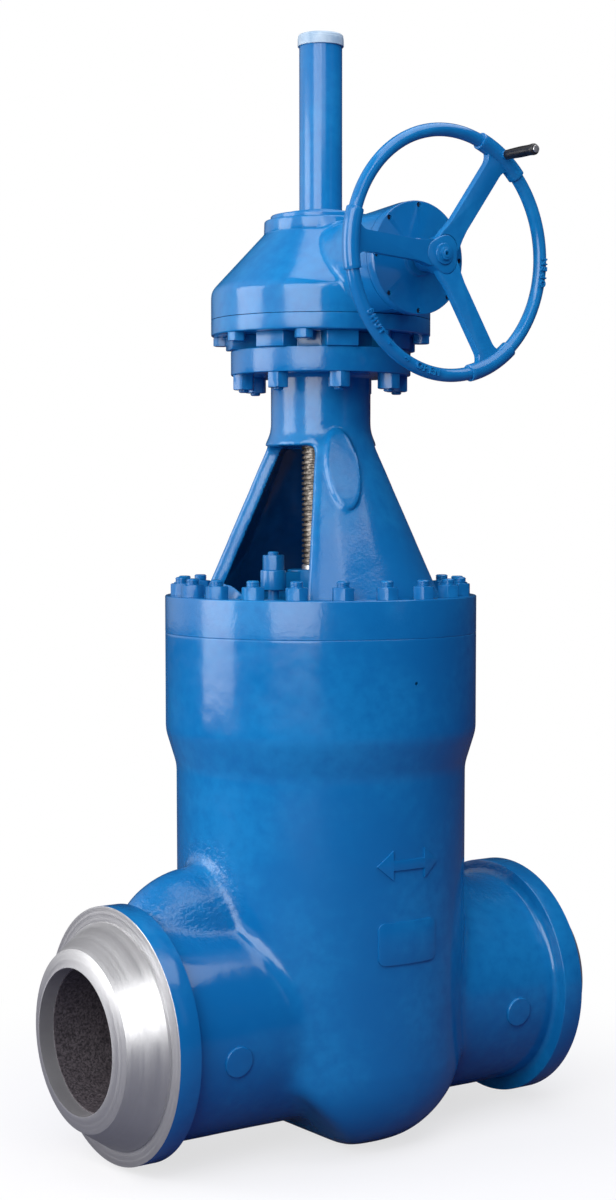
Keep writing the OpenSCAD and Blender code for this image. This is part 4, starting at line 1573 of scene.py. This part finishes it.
    def input_end_cover(self) -> None:
        """Turn the input cover, sink its screw holes and fill them with socket screws."""
        depth = self.input_cover_end - self.input_end
        foot = (AXIS_X, -self.input_end, WHEEL_HEIGHT)
        cover = turned(soften([
            (0.0262, 0), (self.input_front, 0, 0.0015), (self.input_front, depth, 0.003),
            (self.input_collar, depth, 0.004), (self.input_collar, depth + 0.010, 0.002),
            (0.0262, depth + 0.010), (0.0262, 0)], 3), Way.FRONT, foot, 128)
        for step in range(self.count):
            angle = step * math.tau / self.count
            spot = (AXIS_X + self.screw_circle * math.cos(angle), -self.input_end,
                    WHEEL_HEIGHT + self.screw_circle * math.sin(angle))
            hole = turned([(0, depth - 0.010), (0.0070, depth - 0.010), (0.0070, depth + 0.01),
                           (0, depth + 0.01)], Way.FRONT, spot, 24)
            combine(cover, hole, Blend.CUT)
        deliver(dress(cover, self.shop.smooth), "input_end_cover", "blue_enamel",
                "input_cover")
        screw = turned(soften([(0, depth - 0.018), (0.004, depth - 0.018),
                               (0.004, depth - 0.0095), (0.0058, depth - 0.0095),
                               (0.0058, depth - 0.004, 0.0008), (0, depth - 0.004)], 2),
                       Way.FRONT, (AXIS_X + self.screw_circle, -self.input_end, WHEEL_HEIGHT),
                       24)
        socket = turned([(0, depth - 0.007), (0.0028, depth - 0.007), (0.0028, depth),
                         (0, depth)], Way.FRONT,
                        (AXIS_X + self.screw_circle, -self.input_end, WHEEL_HEIGHT), 6)
        combine(screw, socket, Blend.CUT)
        screws = circle_of(screw, self.count, 0, "Y", (AXIS_X, 0, WHEEL_HEIGHT))
        deliver(dress(screws, self.shop.screw), "sunk_screws", "dark_screw", "cover_screws")

    def top(self) -> None:
        """Turn the top cover, the stem tube and its cap."""
        cover = turned(soften([
            (self.cover_bore, self.lip_high), (self.cover, self.lip_high, 0.0015),
            (self.cover, self.cover_high, 0.004), (self.cover_bore, self.cover_high),
            (self.cover_bore, self.lip_high)], 3), steps=128)
        deliver(dress(cover, self.shop.smooth), "round_top_cover", "blue_enamel", "top_cover")
        tube_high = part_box("stem_tube")[1].z
        wall = self.tube_wall
        tube = turned(soften([
            (self.tube - wall, self.cover_high), (self.tube_foot, self.cover_high, 0.001),
            (self.tube_foot, self.cover_high + 0.008, 0.0025),
            (self.tube + 0.004, self.cover_high + 0.008, 0.003),
            (self.tube, self.cover_high + 0.014, 0.004), (self.tube, tube_high, 0.0015),
            (self.tube - wall, tube_high), (self.tube - wall, self.cover_high)], 3), steps=96)
        deliver(dress(tube, self.shop.smooth), "guard_tube", "blue_enamel", "stem_tube")
        low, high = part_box("tube_cap")
        radius = (high.x - low.x) / 2
        cap = turned(soften([
            (self.tube + 0.0002, low.z), (radius, low.z, 0.0012),
            (radius - 0.0004, high.z - 0.011), (radius - 0.0014, high.z - 0.010, 0.002),
            (radius - 0.0014, high.z, 0.007), (0, high.z)], 5)
            + [(0, high.z - 0.0046), (self.tube + 0.0002, high.z - 0.0046),
               (self.tube + 0.0002, low.z)], steps=96)
        deliver(dress(cap, self.shop.cap), "end_cap", "ivory_cap", "tube_cap")

    def build(self) -> None:
        """Model, paint and deliver the operator."""
        self.base()
        self.housing()
        self.input_end_cover()
        self.top()


# ------------------------------------------------------------------- handwheel

@dataclass
class Handwheel:
    """Three-spoked handwheel with its hub, shaft, crank grip and raised words."""

    shop: Paintshop
    plane: float = 0.586
    rim: float = 0.325
    tube: float = 0.018
    sleeve: float = 0.0235
    sleeve_half: float = 14.0
    spokes: tuple[float, ...] = (57.0, 177.0, 297.0)
    width: float = 0.055
    thick: float = 0.024
    flare: float = 0.034
    dish: float = 0.036
    hub: float = 0.049
    hub_corner: float = 0.018
    hub_round: float = 0.038
    hub_back: float = 0.100
    hub_front: float = -0.018
    shaft: float = 0.026
    shaft_tip: float = 0.012
    washer: float = 0.029
    washer_thick: float = 0.005
    nut_flats: float = 0.032
    nut_height: float = 0.008
    pin_collar: float = 0.011
    pin: float = 0.007
    grip: float = 0.0155
    letter_size: float = 0.025
    letter_rise: float = 0.005
    letter_edge: float = 0.0004
    letter_step: float = 3.6

    @property
    def centre(self) -> tuple[float, float, float]:
        """Middle of the rim's plane."""
        return (AXIS_X, -self.plane, WHEEL_HEIGHT)

    def to_angle(self, piece: bpy.types.Object, degrees: float) -> bpy.types.Object:
        """Turn a piece made at the wheel's right side up to an angle of the wheel."""
        return turn(piece, -math.radians(degrees), "Y", self.centre)

    def section(self, radius: float, steps: int = 24) -> Outline:
        """Round section of the rim or of a sleeve, as (radius, height) points."""
        return [(self.rim + radius * math.cos(math.tau * step / steps),
                 radius * math.sin(math.tau * step / steps)) for step in range(steps + 1)]

    def rim_piece(self) -> None:
        """Bend the rim, its three sleeves and raise the words on it."""
        rim = turned(self.section(self.tube), Way.FRONT, self.centre, 144)
        for degrees in self.spokes:
            sleeve = self.sleeve_piece()
            combine(rim, self.to_angle(sleeve, degrees - self.sleeve_half), Blend.ADD)
        words = join([*self.word("SHUT", 217), *self.word("OPEN", 255), *self.arrows(),
                      *self.word("OPEN", 354)])
        rim = join([rim, words])
        deliver(dress(rim, self.shop.smooth), "wheel_rim", "blue_enamel", "handwheel_rim",
                body="handwheel", angle=40)

    def sleeve_piece(self) -> bpy.types.Object:
        """A thicker stretch of the rim that starts at the wheel's right side.

        Returns:
            The sleeve.
        """
        outline = self.section(self.sleeve)[:-1]
        spots = [Vector(self.centre) + Vector((radius, -height, 0)) for radius, height in outline]
        piece = draw(spots)
        bpy.ops.mesh.select_all(action="SELECT")
        bpy.ops.mesh.edge_face_add()
        sweep = math.radians(2 * self.sleeve_half)
        bpy.ops.mesh.spin(steps=16, angle=sweep, center=self.centre, axis=(0, 1, 0))
        bpy.ops.mesh.select_all(action="SELECT")
        bpy.ops.mesh.remove_doubles(threshold=WELD_GAP)
        bpy.ops.mesh.select_all(action="DESELECT")
        bpy.ops.mesh.select_non_manifold()
        bpy.ops.mesh.edge_face_add()
        heal()
        bpy.ops.object.mode_set(mode="OBJECT")
        return bevel(piece, 0.0016, 2, 50)

    def spoke_piece(self) -> bpy.types.Object:
        """A flat spoke from the hub to the rim's inside, flared at both ends.

        Returns:
            The spoke.
        """
        end = self.rim - self.tube + 0.005
        half = self.width / 2
        root = self.hub + 0.004
        edge = [(0.0, half + 0.010), (root, half + 0.007), (root + 0.018, half + 0.003),
                (root + 0.045, half)]
        for step in range(9):
            angle = math.pi / 2 * step / 8
            edge.append((end - self.flare + self.flare * math.sin(angle),
                         half + self.flare - self.flare * math.cos(angle)))
        outline = [(x, -y) for x, y in edge] + edge[::-1]
        back = -self.plane + self.dish
        plate = slab(outline, self.thick, Way.FRONT, (AXIS_X, back + self.thick / 2,
                                                      WHEEL_HEIGHT))
        lean = math.atan2(self.dish, self.rim)
        turn(bevel(plate, 0.006, 3, 50), -lean, "Z", (AXIS_X, back, WHEEL_HEIGHT))
        return plate

    def hub_solid(self, back: float, front: float) -> bpy.types.Object:
        """Model a stretch of the three-cornered hub between two distances.

        Args:
            back: Distance of its back from the rim's plane.
            front: Distance of its front from the rim's plane.

        Returns:
            The solid.
        """
        outline = []
        for degrees in self.spokes:
            corner = math.radians(degrees)
            for step in range(-5, 6):
                angle = corner + step * math.radians(12)
                outline.append((
                    self.hub_corner * math.cos(corner) + self.hub_round * math.cos(angle),
                    self.hub_corner * math.sin(corner) + self.hub_round * math.sin(angle)))
        return slab(outline, front - back, Way.FRONT,
                    (AXIS_X, -self.plane - back, WHEEL_HEIGHT))

    def round_bar(self, radius: float, low: float, high: float) -> bpy.types.Object:
        """Turn a plain bar on the wheel's axis between two distances from its plane."""
        return turned([(0, low), (radius, low), (radius, high), (0, high)], Way.FRONT,
                      self.centre, 64)

    def spoke_set(self) -> None:
        """Three spokes that lean back from the rim to the hub."""
        spokes = [combine(self.to_angle(self.spoke_piece(), degrees),
                          self.hub_solid(-self.hub_back, self.hub_front + 0.01), Blend.CUT)
                  for degrees in self.spokes]
        deliver(dress(join(spokes), self.shop.smooth), "wheel_spokes", "blue_enamel",
                "handwheel_spokes", body="handwheel")

    def hub_set(self) -> None:
        """Model the hub, the washer with its nut, and the shaft."""
        hub = bevel(self.hub_solid(-0.062, self.hub_front), 0.0045, 3, 50)
        neck = turned(soften([
            (0, -self.hub_back), (self.hub - 0.006, -self.hub_back, 0.003),
            (self.hub - 0.004, -0.055), (0, -0.055)], 3), Way.FRONT, self.centre, 96)
        combine(hub, neck, Blend.ADD)
        combine(hub, self.round_bar(self.shaft, -0.2, 0.1), Blend.CUT)
        deliver(dress(hub, self.shop.smooth), "wheel_hub", "blue_enamel", "handwheel_hub",
                body="handwheel")
        face = self.hub_front
        washer = turned(soften([
            (self.shaft_tip, face), (self.washer, face),
            (self.washer, face + self.washer_thick, 0.0025),
            (self.shaft_tip, face + self.washer_thick), (self.shaft_tip, face)], 3),
            Way.FRONT, self.centre, 64)
        foot = (AXIS_X, 0, 0)
        nut = hexagon_nut(self.nut_flats, self.nut_height, foot)
        turn(nut, math.pi / 2, "X", foot)
        shift(nut, (0, -self.plane - face - self.washer_thick, WHEEL_HEIGHT))
        combine(nut, self.round_bar(self.shaft_tip, -0.1, 0.1), Blend.CUT)
        deliver(dress(join([washer, nut]), self.shop.smooth), "wheel_nut", "blue_enamel",
                "hub_nut", body="handwheel")
        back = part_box("input_shaft")[1].y
        front = -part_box("input_shaft")[0].y - self.plane
        shaft = turned(soften([
            (0, -back - self.plane), (self.shaft, -back - self.plane),
            (self.shaft, face - 0.001), (self.shaft_tip, face - 0.001),
            (self.shaft_tip, front, 0.002), (0, front)], 3), Way.FRONT, self.centre, 48)
        socket = turned([(0, front - 0.012), (0.0062, front - 0.012), (0.0062, front + 0.01),
                         (0, front + 0.01)], Way.FRONT, self.centre, 6)
        combine(shaft, socket, Blend.CUT)
        deliver(dress(shaft, self.shop.rod, (self.shop.smooth, self.painted)),
                "drive_shaft", "machined_steel", "input_shaft", body="handwheel")

    def painted(self, spot: Vector, normal: Vector) -> bool:
        """Say whether a face of the shaft lies in front of the hub."""
        return spot.y < -self.plane - self.hub_front

    def crank(self) -> None:
        """Turn the pin and the loose grip on it."""
        angle = math.radians(self.spokes[0])
        foot = (AXIS_X + self.rim * math.cos(angle), -self.plane,
                WHEEL_HEIGHT + self.rim * math.sin(angle))
        grip_low, grip_high = -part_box("crank_grip")[1].y, -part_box("crank_grip")[0].y
        pin_high = -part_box("crank_pin")[0].y - self.plane
        start, end = grip_low - self.plane, grip_high - self.plane
        pin = turned(soften([
            (0, 0.012), (self.pin_collar, 0.012), (self.pin_collar, start - 0.0003, 0.001),
            (self.pin, start - 0.0003), (self.pin, end), (self.pin, end + 0.0003),
            (self.pin + 0.003, end + 0.0003), (self.pin + 0.003, pin_high, 0.001),
            (0, pin_high)], 3), Way.FRONT, foot, 40)
        deliver(dress(pin, self.shop.smooth, (self.shop.rod, lambda spot, normal:
                      spot.y < -self.plane - start)),
                "grip_pin", "machined_steel", "crank_pin", body="handwheel")
        inside = self.pin + 0.00005
        thin = self.grip - 0.0018
        grip = turned(soften([
            (inside, start), (thin - 0.001, start, 0.002), (thin, start + 0.02, 0.05),
            (self.grip - 0.0006, start + 0.060, 0.2), (thin + 0.0006, end - 0.022, 0.05),
            (self.grip, end - 0.010, 0.01), (self.grip - 0.0006, end, 0.0055),
            (inside, end), (inside, start)], 5), Way.FRONT, foot, 56)
        deliver(dress(grip, self.shop.grip), "loose_grip", "black_grip", "crank_grip",
                body="grip")

    def word(self, text: str, degrees: float) -> list[bpy.types.Object]:
        """Raise a word on the rim's front.

        Args:
            text: The letters.
            degrees: Angle of the wheel at the middle of the word.

        Returns:
            The letters as meshes.
        """
        letters = []
        for index, letter in enumerate(text):
            offset = (index - (len(text) - 1) / 2) * self.letter_step
            deselect_all()
            bpy.ops.object.text_add(rotation=(math.pi / 2, 0, 0))
            piece = bpy.context.object
            piece.data.body = letter
            piece.data.size = self.letter_size
            piece.data.extrude = self.letter_rise
            piece.data.bevel_depth = piece.data.offset = self.letter_edge
            piece.data.align_x = "CENTER"
            piece.data.align_y = "CENTER"
            bpy.ops.object.convert(target="MESH")
            letters.append(self.raise_mark(bpy.context.object, degrees + offset))
        return letters

    def arrows(self) -> list[bpy.types.Object]:
        """Raise two small arrow heads between the words.

        Returns:
            The arrow heads.
        """
        marks = []
        for degrees, nose in ((230, -1), (242, 1)):
            mark = slab([(-0.007, -0.0025), (0.002, -0.0025), (0.002, -0.006), (0.009, 0),
                         (0.002, 0.006), (0.002, 0.0025), (-0.007, 0.0025)], 0.009, Way.FRONT,
                        (0, 0.005, 0))
            turn(mark, 0 if nose > 0 else math.pi, "Y", (0, 0, 0))
            marks.append(self.raise_mark(mark, degrees))
        return marks

    def raise_mark(self, mark: bpy.types.Object, degrees: float) -> bpy.types.Object:
        """Put a mark made at the origin on the rim's front at an angle of the wheel.

        Args:
            mark: The mark, made at the origin.
            degrees: Angle of the wheel.

        Returns:
            The same mark.
        """
        settle(mark)
        with editing(mark):
            heal()
        shift(mark, (AXIS_X, -self.plane - self.tube, WHEEL_HEIGHT - self.rim))
        return self.to_angle(mark, degrees - 270)

    def build(self) -> None:
        """Model, paint and deliver the wheel."""
        self.rim_piece()
        self.spoke_set()
        self.hub_set()
        self.crank()


ASSEMBLIES = (BodyCasting, Yoke, Fasteners, StemAndGland, GearOperator, Handwheel)


# ---------------------------------------------------------------------- studio

@dataclass(frozen=True)
class Lamp:
    """One soft box: where it stands, where it aims, its size and its power."""

    name: str
    spot: tuple[float, float, float]
    aim: tuple[float, float, float]
    size: tuple[float, float]
    power: float


Side = tuple[tuple[float, float, float], float, float, float, float]


class WorldBench(Bench):
    """Lays out the nodes of the world."""

    def __init__(self, name: str) -> None:
        """Start an empty world with an output node.

        Args:
            name: Name of the world.
        """
        world = bpy.data.worlds.new(name)
        world.use_nodes = True
        bpy.context.scene.world = world
        self.tree = world.node_tree
        self.tree.nodes.clear()
        self.output = self.tree.nodes.new("ShaderNodeOutputWorld")


@dataclass
class Studio:
    """Floor, soft boxes, surroundings and the camera."""

    floor_gap: float = 0.002
    floor_size: float = 60.0
    floor_seen: tuple[float, float, float] = (0.92, 0.92, 0.92)
    floor_mirrored: tuple[float, float, float] = (0.14, 0.14, 0.15)
    floor_bounced: tuple[float, float, float] = (0.06, 0.08, 0.22)
    floor_fade: tuple[float, float, float, float] = (0.7, 1.0, 0.45, 2.0)
    bearing: float = 35.69
    distance: float = 6.3002
    height: float = 1.4679
    dip: float = 4.09
    lens: float = 64.53
    shift: tuple[float, float] = (-0.0106, 0.05)
    sky: tuple[float, float, float] = (0.55, 0.50, 0.62)
    shade: tuple[float, float, float] = (0.0, 0.02, 0.17)
    lit_side: Side = ((-0.87, 0.49, -0.05), -0.30, 0.80, 0.0, 1.0)
    mirrored_side: Side = ((-0.87, 0.49, -0.05), 0.10, 0.90, 0.03, 0.90)
    lamps: tuple[Lamp, ...] = (
        Lamp("key_box", (-4.0, -3.6, 3.2), (0.83, 0, 0.9), (4.2, 5.0), 290),
        Lamp("left_box", (-3.4, 1.8, 2.2), (0.83, 0, 1.0), (2.6, 3.6), 120),
        Lamp("front_box", (2.8, -5.2, 3.0), (0.83, 0, 0.8), (0.8, 3.0), 2),
        Lamp("top_box", (2.0, -2.0, 5.6), (2.0, -2.0, 0.0), (4.4, 5.4), 180),
        Lamp("high_box", (-1.0, -4.4, 5.2), (0.83, 0, 1.4), (2.4, 2.4), 40),
    )

    def camera(self) -> None:
        """Stand the camera at its bearing and height, tipped down by the dip."""
        bearing = math.radians(self.bearing)
        spot = (AXIS_X - self.distance * math.sin(bearing),
                -self.distance * math.cos(bearing), self.height)
        deselect_all()
        bpy.ops.object.camera_add(location=spot, rotation=(
            math.radians(90 - self.dip), 0, -bearing))
        camera = bpy.context.object
        camera.name = "camera"
        camera.data.lens = self.lens
        camera.data.sensor_width = 36
        camera.data.shift_x, camera.data.shift_y = self.shift
        camera.data.clip_end = 200
        bpy.context.scene.camera = camera

    def floor(self) -> None:
        """Lay a floor, pale to the camera and darker to other rays, that fades to white."""
        deselect_all()
        bpy.ops.mesh.primitive_plane_add(
            size=self.floor_size, location=(AXIS_X, 0, CAD_BOX[0][2] - self.floor_gap))
        plane = settle(bpy.context.object)
        plane.name = "floor"
        bench = Bench("pale_floor")
        away = bench.add("VectorMath", {0: bench.place((1, 1, 0))}, operation="LENGTH",
                         result="Value")
        camera = bench.add("LightPath", result="Is Camera Ray")
        seen = bench.add("Math", {0: camera, 1: bench.ramp(away, *self.floor_fade)},
                         operation="MULTIPLY")
        bounced = bench.add("LightPath", result="Is Diffuse Ray")
        mirrored = bench.tint(camera, self.floor_mirrored, self.floor_seen)
        matt = bench.add("BsdfDiffuse", {"Color": bench.add(
            "Mix", {"Factor": bounced, 6: mirrored, 7: (*self.floor_bounced, 1)}, 2,
            data_type="RGBA")})
        white = bench.add("Emission", {"Color": (1, 1, 1, 1), "Strength": 1.0})
        mixed = bench.add("MixShader", {0: seen, 1: matt, 2: white})
        bench.tree.links.new(mixed, bench.output.inputs["Surface"])
        plane.data.materials.append(bench.material)

    def surroundings(self) -> None:
        """World that is white to the camera, grey by direction to mirrors, bluish as a light."""
        room = WorldBench("white_room")
        glossy = room.add("LightPath", result="Is Glossy Ray")
        through = room.add("LightPath", result="Is Transmission Ray")
        seen = room.add("LightPath", result="Is Camera Ray")
        mirrored = room.add("Math", {0: glossy, 1: through}, operation="MAXIMUM")
        direction = room.add("TexCoord", result="Generated")
        strengths = []
        for side, low, high, darkest, brightest in (self.lit_side, self.mirrored_side):
            facing = room.add("VectorMath", {0: direction, 1: side}, result="Value",
                              operation="DOT_PRODUCT")
            strengths.append(room.ramp(facing, darkest, brightest, low, high))
        sky = room.add("Mix", {"Factor": strengths[0], 4: self.shade, 5: self.sky}, 1,
                       data_type="VECTOR")
        mirror = room.add("CombineXYZ", {axis: strengths[1] for axis in range(3)})
        light = room.add("Mix", {"Factor": mirrored, 4: sky, 5: mirror}, 1,
                         data_type="VECTOR")
        light = room.add("Mix", {"Factor": seen, 4: light, 5: (1, 1, 1)}, 1,
                         data_type="VECTOR")
        background = room.add("Background", {"Color": light})
        room.tree.links.new(background, room.output.inputs["Surface"])

    def light(self) -> None:
        """Hang the soft boxes."""
        for lamp in self.lamps:
            deselect_all()
            aim = (Vector(lamp.aim) - Vector(lamp.spot)).to_track_quat("-Z", "Y").to_euler()
            bpy.ops.object.light_add(type="AREA", location=lamp.spot, rotation=aim)
            light = bpy.context.object
            light.name = lamp.name
            light.data.shape = "RECTANGLE"
            light.data.size, light.data.size_y = lamp.size
            light.data.energy = lamp.power

    def build(self) -> None:
        """Set up the whole studio."""
        bpy.context.scene.view_settings.view_transform = "Standard"
        self.camera()
        self.floor()
        self.surroundings()
        self.light()


def show_frame_nodes(shop: Paintshop) -> None:
    """Give every frame node a finish, also those that a new piece stands for.

    Args:
        shop: The finishes to choose from.
    """
    finishes = {
        "seat_ring_left": shop.gate, "seat_ring_right": shop.gate, "gate": shop.gate,
        "stem": shop.thread, "seal_ring": shop.graphite, "packing": shop.graphite,
        "stem_nut": shop.bronze, "tube_cap": shop.cap, "crank_grip": shop.grip,
        "crank_pin": shop.rod, "cover_screws": shop.screw, "gland_studs": shop.rod,
        "input_shaft": shop.rod,
    }
    for name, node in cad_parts.items():
        node.data.materials.clear()
        node.data.materials.append(finishes.get(name, shop.smooth))


def main() -> None:
    """Build the studio and every piece in order."""
    logging.basicConfig(level=logging.INFO, format="%(name)s: %(message)s")
    Studio().build()
    shop = Paintshop()
    show_frame_nodes(shop)
    for assembly in ASSEMBLIES:
        assembly(shop).build()


if __name__ == "__main__":
    main()
